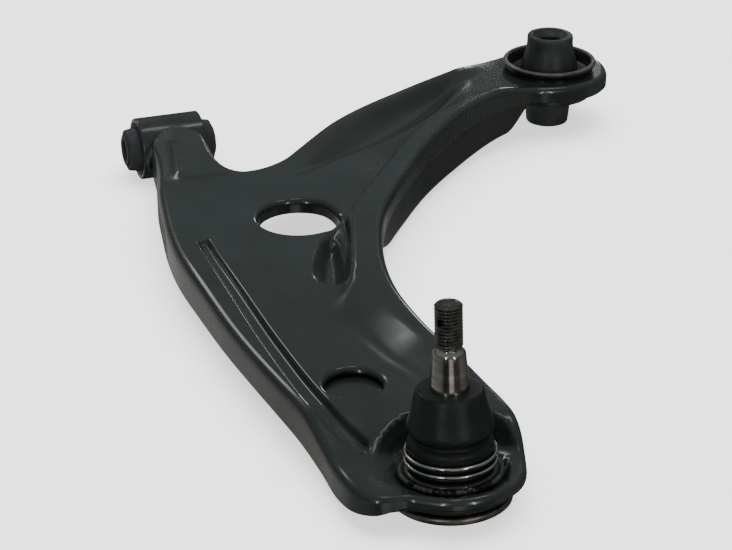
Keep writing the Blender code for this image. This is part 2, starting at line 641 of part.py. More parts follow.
# ---- rear bush ------------------------------------------------------------------------------
at_rear = Matrix.Translation(Vector((REAR[0], REAR[1], 0.0)) * MM)
turned("rear_can", [(26.2, CAN_TOP), (27.2, CAN_TOP - 0.6), (27.3, CAN_TOP - 1.8), (26.3, CAN_TOP - 3.2),
                    (CAN_R, CAN_TOP - 4.6), (CAN_R, CAN_BOTTOM + 0.6), (CAN_R - 0.6, CAN_BOTTOM),
                    (CAN_BORE, CAN_BOTTOM), (CAN_BORE, CAN_TOP - 4.6), (25.2, CAN_TOP - 0.4)],
       48, CAN, parts, at_rear)
rubber = turned("rear_rubber", [(23.9, 33.0), (23.9, 21.5), (21.0, 22.5), (18.0, 21.5), (17.6, 23.0),
                                (17.9, 33.2), (18.4, 35.0), (19.4, 32.6), (21.6, 31.6)],
                44, RUBBER, parts, at_rear)
core_profile = [(13.0, CORE_TOP), (13.7, CORE_TOP - 0.7), (13.8, 50.0), (14.5, 45.0), (15.6, 41.0),
                (16.7, 37.6), (17.25, 34.0), (17.25, 21.5), (15.4, 16.0), (13.9, 12.5), (13.2, 7.0),
                (12.5, 0.7), (11.9, 0.0), (CORE_BORE, 0.0), (CORE_BORE, CORE_TOP - 4.0),
                (10.1, CORE_TOP - 1.0), (10.3, CORE_TOP)]
turned("rear_core", core_profile, 44, RUBBER, parts, at_rear)

# two kidney openings through the rear rubber
for k, mid in enumerate((160.0, -20.0)):
    rad = [circle(REAR[0], REAR[1], r, 360)[[int(a) % 360 for a in np.linspace(mid - 42, mid + 42, 13)]]
           for r in (19.7, 22.3)]
    flat = [tuple(v) for v in rad[0]] + [tuple(v) for v in rad[1][::-1]]
    n = len(flat)
    verts = [(x, y, 10.0) for x, y in flat] + [(x, y, 45.0) for x, y in flat]
    faces = [tuple(range(n)), tuple(range(n, 2 * n))]
    faces += [(i, (i + 1) % n, n + (i + 1) % n, n + i) for i in range(n)]
    cut = mesh_object("kidney_cut_%d" % k, verts, faces, RUBBER, cutters)
    bm = bmesh.new()
    bm.from_mesh(cut.data)
    bmesh.ops.recalc_face_normals(bm, faces=bm.faces)
    bm.to_mesh(cut.data)
    bm.free()
    cut.hide_render = True
    cut.display_type = "WIRE"
    bo = rubber.modifiers.new("kidney", "BOOLEAN")
    bo.operation = "DIFFERENCE"
    bo.solver = "EXACT"
    bo.object = cut
    bpy.context.view_layer.update()
    bake(rubber)
finish(rubber)

# ---- ball joint -----------------------------------------------------------------------------
at_joint = (Matrix.Translation(Vector((JOINT[0], JOINT[1], JOINT_Z)) * MM)
            @ Matrix.Rotation(-JOINT_LEAN, 4, "X"))
turned("base_cap", [(0.0, 3.7), (25.2, 3.7), (CAP_R, 2.9), (CAP_R, 1.2), (24.6, 0.0), (0.0, 0.0)],
       64, BARE, parts, at_joint)
turned("ball_housing", [(16.6, 25.6), (17.2, 25.0), (17.2, 15.9), (19.2, 15.5), (20.1, 14.8),
                        (20.1, 4.0), (15.5, 4.0), (15.5, 23.6), (12.8, 23.6), (13.4, 25.6)],
       48, PAINT, parts, at_joint)
sphere_r = BALL_R + 0.1


def sphere_arc(a, b, n):
    return [(sphere_r * math.cos(math.radians(t)), BALL_Z + sphere_r * math.sin(math.radians(t)))
            for t in np.linspace(a, b, n)]


turned("seat_upper", [(12.6, 23.3), (15.2, 23.3), (15.2, 14.2)] + sphere_arc(1.0, 30.0, 6),
       40, POLYMER, parts, at_joint)
turned("seat_lower", [(15.2, 13.9), (15.2, 4.3), (6.6, 4.3)] + sphere_arc(-54.0, -0.6, 9),
       40, POLYMER, parts, at_joint)
stud = [(5.0, 88.8), (THREAD_R, 87.8), (THREAD_R, 70.4), (5.3, 69.6), (5.4, 68.9), (6.4, 68.0),
        (7.0, 67.0), (8.75, 48.0), (8.75, 46.5), (6.6, 35.0), (5.9, 30.0), (5.9, 25.0)]
neck_t = math.degrees(math.acos(5.9 / BALL_R))
stud += [(BALL_R * math.cos(math.radians(t)), BALL_Z + BALL_R * math.sin(math.radians(t)))
         for t in np.linspace(neck_t, -47.0, 14)]
stud_ob = turned("ball_stud", [(0.0, 88.8)] + stud + [(0.0, BALL_Z - BALL_R * math.sin(math.radians(47.0)))],
                 32, STEEL, parts, Matrix.Identity(4))
hole = mesh_object("cotter_cut", [], [], STEEL, cutters)
bm = bmesh.new()
bmesh.ops.create_cone(bm, cap_ends=True, segments=16, radius1=1.6 * MM, radius2=1.6 * MM, depth=20 * MM)
bm.to_mesh(hole.data)
bm.free()
hole.data.transform(Matrix.Translation((0, 0, 81.5 * MM))
                    @ Matrix.Rotation(math.radians(-154.5), 4, "Z")
                    @ Matrix.Rotation(math.radians(90), 4, "Y"))
hole.hide_render = True
hole.display_type = "WIRE"
bo = stud_ob.modifiers.new("cotter", "BOOLEAN")
bo.operation = "DIFFERENCE"
bo.solver = "EXACT"
bo.object = hole
bpy.context.view_layer.update()
bake(stud_ob)
finish(stud_ob)
stud_ob.data.transform(at_joint)
hole.data.transform(at_joint)

boot = [(13.3, 50.9), (14.2, 50.6), (14.9, 49.1), (15.9, 44.0), (17.7, 37.4), (18.4, 34.7),
        (18.2, 33.0), (16.6, 31.2), (15.7, 29.9), (17.4, 28.5), (18.4, 26.9), (18.3, 25.5),
        (18.1, 24.4), (18.1, 18.0), (18.6, 17.4), (18.4, 16.3), (17.5, 16.2), (17.5, 25.9),
        (16.0, 27.8), (14.2, 29.8), (14.6, 31.7), (16.4, 33.8), (16.4, 35.1), (15.7, 37.8),
        (13.9, 44.4), (12.8, 48.6), (9.15, 48.8), (9.15, 50.9)]
turned("dust_boot", boot, 36, RUBBER, parts, at_joint)
torus("boot_clip_upper", 19.3, 22.9, 0.8, WIRE, parts, at_joint)
torus("boot_clip_lower", 19.4, 19.2, 0.8, WIRE, parts, at_joint)
torus("boot_spring_ring", 10.75, 47.2, 1.1, WIRE, parts, at_joint, major=32)
torus("housing_weld", 21.75, 13.45, 1.3, WELD, parts, at_joint)

# ---- weld beads -----------------------------------------------------------------------------
torus("rear_can_weld", 27.35, 25.35, 1.25, WELD, parts, at_rear)
reach = EYE_R + 2.5
path = []
for x, lift in ((-25.6, -14.0), (-26.0, -4.0), (-25.0, 8.0), (-21.5, 19.0), (-16.0, 28.0), (-8.8, 30.5),
                (-1.6, 28.0), (4.0, 19.0), (7.0, 8.0), (7.8, -4.0), (7.4, -14.0)):
    t = math.radians(lift)
    path.append((x, -reach * math.cos(t), FRONT[2] + reach * math.sin(t)))
bead("eye_weld", path, 1.9, WELD, parts)
seam = [i for i in range(len(outer)) if 60.0 < outer[i, 0] < 150.0 and outer[i, 1] < -50 - 0.6 * (150 - outer[i, 0])]
line = offset_ring(inset - GAP - 1.25)
bead("flank_seam_weld", [(line[i, 0], line[i, 1], outer[i, 2] - 0.35 - 1.25) for i in seam], 1.25, WELD, parts)

# ---- origin: bottom centre of the whole arm --------------------------------------------------
bpy.context.view_layer.update()
lo = np.full(3, 1e9)
hi = np.full(3, -1e9)
for ob in parts.objects:
    co = np.array([tuple(v.co) for v in ob.data.vertices])
    lo = np.minimum(lo, co.min(0))
    hi = np.maximum(hi, co.max(0))
shift = Vector((-(lo[0] + hi[0]) / 2, -(lo[1] + hi[1]) / 2, -lo[2]))
for ob in list(parts.objects) + list(cutters.objects):
    ob.data.transform(Matrix.Translation(shift))
    ob.data.update()
pivots = {"front_inner_sleeve": Vector(FRONT) * MM, "rear_core": Vector((REAR[0], REAR[1], 28.0)) * MM,
          "ball_stud": at_joint @ Vector((0, 0, BALL_Z * MM)),
          "boot_spring_ring": at_joint @ Vector((0, 0, BALL_Z * MM))}
for name, point in pivots.items():
    ob = bpy.data.objects[name]
    at = point + shift
    ob.data.transform(Matrix.Translation(-at))
    ob.location = at
print("shift mm", [round(c / MM, 4) for c in shift], "size mm", np.round((hi - lo) / MM, 3))
for name in pivots:
    print(name, [round(c, 6) for c in bpy.data.objects[name].location])
for ob in parts.objects:
    print(ob.name, sum(len(p.vertices) - 2 for p in ob.data.polygons))
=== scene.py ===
"""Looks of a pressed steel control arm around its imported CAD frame.

All shape numbers are millimetres in the arm's layout: X from the front bush to the rear bush, Y inboard,
Z up along the rear bush. MM turns them into metres, and SHIFT moves them from the layout into the frame.
"""
import math

import bmesh
import bpy
import numpy as np
from mathutils import Matrix, Vector
from mathutils.geometry import delaunay_2d_cdt


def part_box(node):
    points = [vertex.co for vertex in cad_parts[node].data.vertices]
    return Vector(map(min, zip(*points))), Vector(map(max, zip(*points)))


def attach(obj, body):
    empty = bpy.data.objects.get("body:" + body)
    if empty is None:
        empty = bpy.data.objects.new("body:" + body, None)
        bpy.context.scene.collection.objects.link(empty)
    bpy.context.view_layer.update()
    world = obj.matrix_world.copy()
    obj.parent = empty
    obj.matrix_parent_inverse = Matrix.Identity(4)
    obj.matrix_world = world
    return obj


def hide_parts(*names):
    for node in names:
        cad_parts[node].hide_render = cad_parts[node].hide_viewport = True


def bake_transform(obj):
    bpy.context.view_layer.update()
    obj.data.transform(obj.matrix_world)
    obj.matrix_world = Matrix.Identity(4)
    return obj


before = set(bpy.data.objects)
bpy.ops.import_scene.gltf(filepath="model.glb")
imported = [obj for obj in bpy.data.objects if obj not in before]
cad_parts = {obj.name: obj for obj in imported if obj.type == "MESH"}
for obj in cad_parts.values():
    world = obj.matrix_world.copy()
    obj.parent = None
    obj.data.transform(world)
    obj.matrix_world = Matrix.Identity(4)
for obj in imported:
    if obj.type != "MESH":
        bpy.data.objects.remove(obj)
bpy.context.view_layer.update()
MM = 0.001

# ---- layout --------------------------------------------------------------------------------
FRONT = (-8.5, 0.0, 17.5)               # centre of the front bush, axis along X
REAR = (230.0, 2.0)                     # rear bush axis, vertical
JOINT = (14.5, -377.5)                  # centre of the ball joint's base
LEAN = math.radians(5.0)                # the ball joint's axis leans inboard
PLATE_R = 26.0                          # closing plate under the ball joint
JOINT_Z = PLATE_R * math.sin(LEAN)
SHEET = 2.5                             # thickness of both stampings
WEB_Z = 28.0                            # top of the web at the small hole
SMALL_HOLE = (-6.5, -313.5, 12.8)       # x, y, radius
LARGE_HOLE = (23.0, -145.0, 21.0)
CAN_HOLE = 26.05                        # hole for the rear can in both stampings
JOINT_HOLE = 20.5                       # hole for the ball joint's housing in both stampings
JOINT_FLOOR, TRAY_FLOOR = 11.8, 5.0     # sheet heights round the housing, along the joint's axis
EYE_R, EYE_BORE, EYE_HALF = 17.5, 14.7, 18.5
BOSS_OUT = 6.5                          # rubber that stands out past the eye
SLEEVE_R, SLEEVE_BORE, SLEEVE_HALF = 8.7, 6.2, 26.0
BALL_R, BALL_Z, BALL_FLAT = 11.0, 14.0, 47.0
STUD_NECK = 5.9
PITCH, T_LO, T_HI, T_R = 1.5, 70.4, 87.8, 5.95     # thread: pitch, both ends, outer radius

# the frame's zero lies elsewhere than the layout's; the rear core's axis tells by how much
core_lo, core_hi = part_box("rear_core")
SX = (core_lo.x + core_hi.x) / 2 / MM - REAR[0]
SY = (core_lo.y + core_hi.y) / 2 / MM - REAR[1]
SHIFT = Matrix.Translation((SX * MM, SY * MM, 0.0))
AT_JOINT = SHIFT @ Matrix.Translation(Vector((*JOINT, JOINT_Z)) * MM) @ Matrix.Rotation(-LEAN, 4, "X")
AT_FRONT = SHIFT @ Matrix.Translation(Vector(FRONT) * MM) @ Matrix.Rotation(math.radians(90), 4, "Y")
AT_REAR = SHIFT @ Matrix.Translation(Vector((*REAR, 0.0)) * MM)

# plan outline, counter-clockwise: x, y, bottom of the skirt, radius of the rolled edge
OUTLINE = [
    (-25, -29, 10, 4), (-26.6, -40, 10, 5.5), (-30.4, -60, 10.5, 6), (-36, -82, 11, 5),
    (-41, -110, 12, 4.5), (-45.5, -140, 12, 4.5), (-47.5, -170, 12, 4.5), (-46.5, -205, 12, 4.5),
    (-44.8, -240, 12, 4.5), (-42, -272, 12, 4.5), (-38.8, -300, 11.5, 4.5), (-35.5, -325, 10, 4.5),
    (-33.5, -348, 7.5, 4.5), (-33, -366, 6, 4.2), (-31, -381, 7.5, 3.8), (-25, -391, 10, 3.2),
    (-17.5, -393.5, 12, 2.8), (-11.5, -394.5, 13.5, 2.8), (-5, -399.5, 14, 3),
    (4, -405.3, 15, 3), (14.5, -407, 16, 3), (25.5, -405.3, 16, 3),
    (35.3, -400, 16.5, 3), (42.3, -391.5, 16.5, 3), (47.2, -380, 16.5, 3.2), (50.4, -367, 16, 3.6),
    (51.3, -352, 16, 4), (50.5, -336, 16, 4.5), (47.2, -315, 16, 4.5), (42.5, -290, 16, 4.5),
    (41, -262, 17, 4.5), (41.5, -238, 18, 4.5), (45.5, -213, 20, 4.5), (52.5, -190, 23, 4.5),
    (62, -168, 25.5, 4.5), (74.5, -148, 27, 4.5), (92, -124, 28, 4.5), (114, -96.5, 28, 4.5),
    (137, -72.5, 28, 4.5), (160, -52.5, 27.5, 4.5), (183, -38, 27, 4.2), (204, -30.5, 26, 3.8),
    (217, -32, 25, 3.6), (230, -32.8, 24.6, 3.6), (244, -30.3, 25, 3.8), (255, -22.8, 25.5, 4),
    (262.8, -10.5, 24.5, 4.5), (265.8, 3, 23.5, 4.5), (262.8, 16, 24, 4.5), (255, 26.5, 25, 4.5),
    (244, 33, 25, 4.5), (230, 35, 25, 4.5), (215, 32.8, 25, 4.5), (203, 28.3, 24.5, 4.5),
    (190, 22.5, 24, 4.5), (178, 16.5, 23, 4.5), (160, 7, 22, 4.5), (130, -8.5, 22, 4.5),
    (99, -24.5, 21, 4.5), (75, -40, 20, 4.5), (51, -58.5, 18, 4.5), (37.5, -69.5, 16, 4.5),
    (24, -76, 15, 4.5), (13.5, -76.6, 14, 4.5), (7.6, -72, 13, 5), (5.2, -64, 12, 5.5),
    (4.7, -54, 11, 6), (5.2, -42, 10, 5.5), (5.6, -29, 10, 4), (4.8, -19.8, 10, 2.4),
    (1.6, -16.6, 15, 1.4), (-3.4, -13.6, 25, 1.4), (-8.6, -11.6, 29.6, 1.4), (-14, -13.6, 25, 1.4),
    (-19.2, -16.6, 15, 1.4), (-22.8, -19.8, 10, 2.4),
]
NECK_POINTS = 7     # the outline's last points, where the upper sheet laps over the eye
TRAY_END = [(1.0, -23.5, 10, 4), (-9, -21.8, 10, 4), (-19, -23.5, 10, 4)]


def curve(points, spacing=4.0, closed=False):
    """Catmull-Rom curve through the points at about even spacing; carries extra values."""
    p = np.array(points, float)
    if not closed:
        p = np.vstack([2 * p[0] - p[1], p, 2 * p[-1] - p[-2]])
    n = len(p)
    dense = []
    for i in range(n if closed else n - 3):
        a, b, c, d = [p[(i + k) % n] for k in ((-1, 0, 1, 2) if closed else (0, 1, 2, 3))]
        for t in np.linspace(0.0, 1.0, 16, endpoint=False):
            dense.append(0.5 * (2 * b + (c - a) * t + (2 * a - 5 * b + 4 * c - d) * t ** 2
                                + (3 * b - 3 * c + d - a) * t ** 3))
    dense.append(dense[0] if closed else p[-2])
    dense = np.array(dense)
    run = np.concatenate([[0.0], np.cumsum(np.linalg.norm(np.diff(dense[:, :2], axis=0), axis=1))])
    count = max(4, int(round(run[-1] / spacing)))
    want = np.linspace(0.0, run[-1], count, endpoint=not closed)
    return np.stack([np.interp(want, run, dense[:, k]) for k in range(p.shape[1])], 1)


# lines of the pressed form on the upper stamping
GROOVE = curve([(-31.0, -157), (-31.5, -180), (-30.7, -216), (-29.6, -262), (-28, -305), (-25, -332),
                (-18, -353)])
INNER_EDGE = curve([(24, -76), (37.5, -69.5), (51, -58.5), (75, -40), (99, -24.5), (130, -8.5), (160, 7),
                    (178, 16.5), (203, 28.3)])
OUTER_EDGE = curve([(49, -352), (48.3, -336), (45.7, -315), (42.5, -290), (41, -262), (41.5, -238),
                    (45.5, -213), (52.5, -190), (62, -168), (74.5, -148), (92, -124), (114, -96.5),
                    (137, -72.5), (160, -52.5), (183, -38), (204, -30.5)])
RAIL_EDGE = curve([(190, -28), (149, -47), (108, -78), (79, -112), (57, -138), (42, -159), (36, -178),
                   (29, -200), (20, -222), (10, -234), (3, -245), (2, -256), (5, -269), (8, -285),
                   (11, -300), (15, -310), (18, -324)], 3.0)
LEAF = curve([(29, -95), (47, -76), (71, -57), (95, -39), (128, -16), (158, 3), (172, 9), (171, -4),
              (160, -22), (148, -36), (130, -51), (100, -70), (69, -83), (41, -98)], 3.0, True)
NECK_RIB = curve([(-13, -26), (-15, -42), (-19, -60), (-23, -80)], 3.0)
POCKET = curve([(41, -154), (31, -166), (22, -178), (14, -194), (10, -204), (8.5, -212), (10, -219),
                (16, -223), (23, -222), (28, -210), (33, -192), (36, -178), (39.5, -165)], 2.5, True)


def smooth(a, b, v):
    """Zero below a, one above b, smooth between."""
    t = np.clip((v - a) / (b - a), 0.0, 1.0)
    return t * t * (3.0 - 2.0 * t)


def line_distance(x, y, line):
    """Distance to a polyline and the share of its length at the nearest place."""
    best, share = np.full(np.shape(x), 1e9), np.zeros(np.shape(x))
    lengths = np.linalg.norm(np.diff(line, axis=0), axis=1)
    run = 0.0
    for a, b, length in zip(line[:-1], line[1:], lengths):
        d = b - a
        t = np.clip(((x - a[0]) * d[0] + (y - a[1]) * d[1]) / (length * length), 0.0, 1.0)
        away = np.hypot(x - a[0] - t * d[0], y - a[1] - t * d[1])
        near = away < best
        best = np.where(near, away, best)
        share = np.where(near, (run + t * length) / lengths.sum(), share)
        run += length
    return best, share


def side_of(x, y, line):
    """Plus one to the left of a polyline's travel, minus one to the right, at its nearest segment."""
    best, side = np.full(np.shape(x), 1e9), np.zeros(np.shape(x))
    for a, b in zip(line[:-1], line[1:]):
        d = b - a
        t = np.clip(((x - a[0]) * d[0] + (y - a[1]) * d[1]) / (d @ d), 0.0, 1.0)
        away = np.hypot(x - a[0] - t * d[0], y - a[1] - t * d[1])
        near = away < best - 1e-9
        best = np.where(near, away, best)
        side = np.where(near, np.sign(d[0] * (y - a[1]) - d[1] * (x - a[0])), side)
    return side


def inside(x, y, ring):
    """True where a place lies within a closed ring."""
    hit = np.zeros(np.shape(x), bool)
    for (x1, y1), (x2, y2) in zip(ring, np.roll(ring, -1, 0)):
        if y1 != y2:
            hit ^= ((y1 > y) != (y2 > y)) & (x < (x2 - x1) * (y - y1) / (y2 - y1) + x1)
    return hit


def looped(ring):
    """The ring with its first point again at the end."""
    return np.vstack([ring, ring[:1]])


def cos_sin(degrees):
    return math.cos(math.radians(degrees)), math.sin(math.radians(degrees))


def groove_width(share):
    """Half width of the groove, which widens toward the ball joint."""
    return 3.7 + 1.6 * share


def along_limb(x, y):
    """Share of the way from the large hole along the limb to the rear bush."""
    return np.clip(((x - 40) * 0.80 + (y + 140) * 0.60) / 236.0, 0.0, 1.0)


def joint_plane(y, height):
    """Height of a plane square to the leaning ball joint axis."""
    return JOINT_Z + height / math.cos(LEAN) - math.tan(LEAN) * (y - JOINT[1])


def top_height(x, y):
    """Outer face of the upper stamping."""
    x, y = np.asarray(x, float), np.asarray(y, float)
    along = along_limb(x, y)
    rear = np.hypot(x - REAR[0], y - REAR[1])
    z = WEB_Z + 2.6 * smooth(-270.0, -180.0, y) + 3.4 * smooth(0.05, 0.75, along)
    near_rear = smooth(30.0, 62.0, rear)
    # ridge along the outer edge, highest where the limbs meet, with a trough at its foot
    d_out, s_out = line_distance(x, y, OUTER_EDGE)
    d_rail, _ = line_distance(x, y, RAIL_EDGE)
    outside = side_of(x, y, RAIL_EDGE) > 0
    share = np.where(outside, d_rail / (d_rail + np.maximum(d_out - 4.0, 0.0) + 1e-6), 0.0)
    far = smooth(-285.0, -205.0, y)
    form = far * smooth(0.0, 0.34, share) + (1.0 - far) * (1.25 * smooth(0.2, 0.98, share)
                                                           - 0.25 * smooth(0.0, 0.34, share))
    crest = 5.0 + 3.5 * smooth(0.30, 0.6, s_out)
    rise = smooth(0.03, 0.16, s_out) * near_rear
    z = z + crest * rise * form * (1.0 - smooth(0.8, 1.0, s_out) * 0.4)
    trough = 2.8 * rise * smooth(-168.0, -142.0, y) * (1.0 - smooth(0.0, 0.25, share))
    z = z - trough * np.exp(-(d_rail / 9.0) ** 2)
    # bead along the inner edge
    d_in, s_in = line_distance(x, y, INNER_EDGE)
    z = z + 4.0 * smooth(0.05, 0.35, s_in) * near_rear * (1.0 - smooth(6.0, 16.0, d_in))
    # leaf-shaped hollow with a raised lip, then the pocket and the groove
    d_leaf, _ = line_distance(x, y, looped(LEAF))
    z = z - 5.0 * np.where(inside(x, y, LEAF), smooth(0.5, 13.0, d_leaf), 0.0) * smooth(28.0, 60.0, x)
    z = z + 1.5 * np.exp(-(d_leaf / 3.4) ** 2) * smooth(30.0, 80.0, x) * smooth(4.0, -12.0, y - x + 175.0)
    d_pocket, _ = line_distance(x, y, looped(POCKET))
    pressed = np.where(inside(x, y, POCKET), 7.4 * smooth(-0.5, 8.5, d_pocket), 0.0)
    z = z - pressed * smooth(-158.0, -182.0, y)
    d_groove, s_groove = line_distance(x, y, GROOVE)
    wide = groove_width(s_groove)
    z = z - (2.6 + 0.9 * s_groove) * (1.0 - smooth(wide - 2.6, wide, d_groove)) * smooth(-154.5, -158.0, y)
    # falling left lobe, recess round the ball joint and lowered nose
    z = z - 9.0 * smooth(-322.0, -366.0, y) * smooth(10.0, -20.0, x)
    r = np.hypot(x - JOINT[0], y - JOINT[1])
    left = smooth(10.0, -20.0, x) * smooth(-345.0, -385.0, y)
    floor = joint_plane(y, JOINT_FLOOR) + 2.2 * smooth(22.6, 25.5, r)
    z = floor + (z - floor) * smooth(25.0, 34.0 + 6.0 * left, r)
    early = 20.0 * smooth(22.0, 44.0, x)
    nose = smooth(7.0, -22.0, y + 383.0 - early)
    z = z + (joint_plane(y, 14.6) - z) * nose * smooth(22.6, 25.5, r)
    # raised neck behind the front eye, with a rib
    neck = (0.55 * smooth(-95.0, -62.0, y) + 0.45 * smooth(-84.0, -77.5, y)) * smooth(34.0, 9.0, x)
    fall = np.clip(-14.0 + 0.18 * (y + 36.0) - x, 0.0, 16.0)
    far_side = np.clip((x + 4.0) / 12.0, 0.0, 1.2)
    z = z + neck * (1.6 - 0.30 * fall - 1.2 * far_side ** 2)
    d_rib, s_rib = line_distance(x, y, NECK_RIB)
    return z + 1.2 * np.exp(-(d_rib / 2.6) ** 2) * smooth(0.0, 0.2, s_rib) * smooth(1.0, 0.85, s_rib)


def bottom_height(x, y):
    """Outer (lower) face of the lower tray."""
    x, y = np.asarray(x, float), np.asarray(y, float)
    along = along_limb(x, y)
    rear = np.hypot(x - REAR[0], y - REAR[1])
    z = 10.0 - 6.5 * smooth(0.02, 0.25, along)
    z = z - 5.5 * smooth(25.0, 60.0, x) * smooth(-235.0, -180.0, y) * (1.0 - smooth(0.02, 0.25, along))
    z = z + (27.0 - z) * (1.0 - 0.75 * smooth(29.5, 52.0, rear) - 0.25 * smooth(27.0, 110.0, rear))
    # raised pads under the two web holes
    dx, dy = x - LARGE_HOLE[0], y - LARGE_HOLE[1]
    ahead = dx * 0.30 + dy * 0.954
    pad = np.where(ahead > 0.0, np.abs(dx * 0.954 - dy * 0.30), np.hypot(dx, dy))
    raised = np.maximum(z, 22.4 - 0.40 * np.maximum(0.0, ahead - 30.0))
    z = z + (raised - z) * (1.0 - smooth(30.0, 46.0, pad))
    under = np.hypot(x - SMALL_HOLE[0], y - SMALL_HOLE[1])
    z = z + (22.6 - z) * (1.0 - smooth(17.0, 30.0, under))
    low = joint_plane(y, TRAY_FLOOR)
    z = low + (z - low) * smooth(33.0, 52.0, np.hypot(x - JOINT[0], y - JOINT[1]))
    return np.minimum(z, top_height(x, y) - 2.0 * SHEET - 1.8)


# ---- mesh helpers --------------------------------------------------------------------------
def add(name, me, mat, body, stands_for, angle=35.0):
    """Link a mesh as a piece that rides on a body and stands for CAD nodes."""
    for p in me.polygons:
        p.use_smooth = True
    me.set_sharp_from_angle(angle=math.radians(angle))
    me.materials.clear()
    me.materials.append(mat)
    ob = bpy.data.objects.new(name, me)
    bpy.context.scene.collection.objects.link(ob)
    bpy.context.view_layer.update()
    if body:
        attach(ob, body)
    if stands_for:
        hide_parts(*stands_for)
    return ob


def from_bm(name, bm, place=None):
    """Mesh from a bmesh with its faces turned outward; frees the bmesh."""
    bmesh.ops.recalc_face_normals(bm, faces=bm.faces)
    if bm.calc_volume(signed=True) < 0.0:
        bmesh.ops.reverse_faces(bm, faces=bm.faces)
    me = bpy.data.meshes.new(name)
    bm.to_mesh(me)
    bm.free()
    if place is not None:
        me.transform(place)
    return me


def turned(profile, steps, place, ripple=None):
    """Turned solid from (radius, height) points; ripple(angle, height, radius) adds to the radius."""
    bm = bmesh.new()
    rows = []
    for r, z in profile:
        if r < 1e-6:
            rows.append([bm.verts.new((0, 0, z * MM))])
            continue
        row = []
        for i in range(steps):
            a = 2 * math.pi * i / steps
            q = r + (ripple(a, z, r) if ripple else 0.0)
            row.append(bm.verts.new((q * MM * math.cos(a), q * MM * math.sin(a), z * MM)))
        rows.append(row)
    closed = len(rows[0]) > 1 and len(rows[-1]) > 1
    for k in range(len(rows) - (0 if closed else 1)):
        lo, hi = rows[k], rows[(k + 1) % len(rows)]
        for i in range(steps):
            j = (i + 1) % steps
            quad = [lo[i % len(lo)], lo[j % len(lo)], hi[j % len(hi)], hi[i % len(hi)]]
            quad = [v for n, v in enumerate(quad) if v not in quad[:n]]
            if len(quad) > 2:
                bm.faces.new(quad)
    return from_bm("turned", bm, place)


def rounded(profile, r=0.6, n=4):
    """Round the corners of a closed profile."""
    p = [np.array(q, float) for q in profile]
    out = []
    for i, b in enumerate(p):
        a, c = p[i - 1], p[(i + 1) % len(p)]
        la, lc = np.linalg.norm(a - b), np.linalg.norm(c - b)
        k = min(r, la * 0.45, lc * 0.45)
        s, e = b + (a - b) / la * k, b + (c - b) / lc * k
        for t in np.linspace(0.0, 1.0, n):
            out.append(tuple((1 - t) ** 2 * s + 2 * t * (1 - t) * b + t * t * e))
    return out


def tube(points, radius, closed=False, sides=14, ripple=0.0, pitch=2.0, seed=0):
    """Round bar or weld bead along a path in metres; ripple gives it a stacked weld look."""
    p = [Vector(q) for q in points]
    n = len(p)
    rng = np.random.default_rng(seed)
    wob = rng.normal(0, 1, n)
    bm = bmesh.new()
    rows = []
    run = 0.0
    up = Vector((0, 0, 1))
    for i in range(n):
        a = p[(i - 1) % n] if closed or i else p[i]
        b = p[(i + 1) % n] if closed or i < n - 1 else p[i]
        t = (b - a).normalized()
        side = t.cross(up)
        side = side.normalized() if side.length > 1e-6 else Vector((1, 0, 0))
        top = side.cross(t).normalized()
        run += (p[i] - p[i - 1]).length / MM if i else 0.0
        k = radius * (1.0 + ripple * (0.55 * math.sin(2 * math.pi * run / pitch) + 0.35 * wob[i]))
        if not closed:
            k *= math.sqrt(max(0.05, min(1.0, (min(i, n - 1 - i) + 0.3) / 3.0)))
        rows.append([bm.verts.new(p[i] + (side * math.cos(2 * math.pi * j / sides)
                                          + top * math.sin(2 * math.pi * j / sides)) * k * MM)
                     for j in range(sides)])
    for i in range(n if closed else n - 1):
        a, b = rows[i], rows[(i + 1) % n]
        for j in range(sides):
            bm.faces.new((a[j], b[j], b[(j + 1) % sides], a[(j + 1) % sides]))
    if not closed:
        bm.faces.new(rows[0])
        bm.faces.new(rows[-1])
    return from_bm("tube", bm)


def ring_points(radius, height, count, place, start=0.0, stop=360.0):
    """Points in metres on a circle round a placed axis; the angles are in degrees."""
    full = abs(stop - start) >= 360.0
    a = np.radians(np.linspace(start, stop, count, endpoint=not full))
    return [place @ (Vector((radius * math.cos(t), radius * math.sin(t), height)) * MM) for t in a]


# ---- stamped shells ------------------------------------------------------------------------
def inward(ring):
    """Inward mitre vectors of a counter-clockwise ring: one millimetre square to both edges."""
    t = np.roll(ring[:, :2], -1, 0) - ring[:, :2]
    t /= np.linalg.norm(t, axis=1)[:, None]
    after = np.stack([-t[:, 1], t[:, 0]], 1)
    before = np.roll(after, 1, 0)
    return (after + before) / np.maximum(1.0 + (after * before).sum(1), 0.7)[:, None]


def in_frame(points):
    """Layout points as vectors in metres in the frame."""
    return [SHIFT @ (Vector(p) * MM) for p in points]


def circle(cx, cy, r, n):
    a = np.linspace(0.0, 2 * math.pi, n, endpoint=False)
    return np.stack([cx + r * np.cos(a), cy + r * np.sin(a)], 1)


def with_z(ring, z):
    return np.column_stack([ring[:, :2], z])


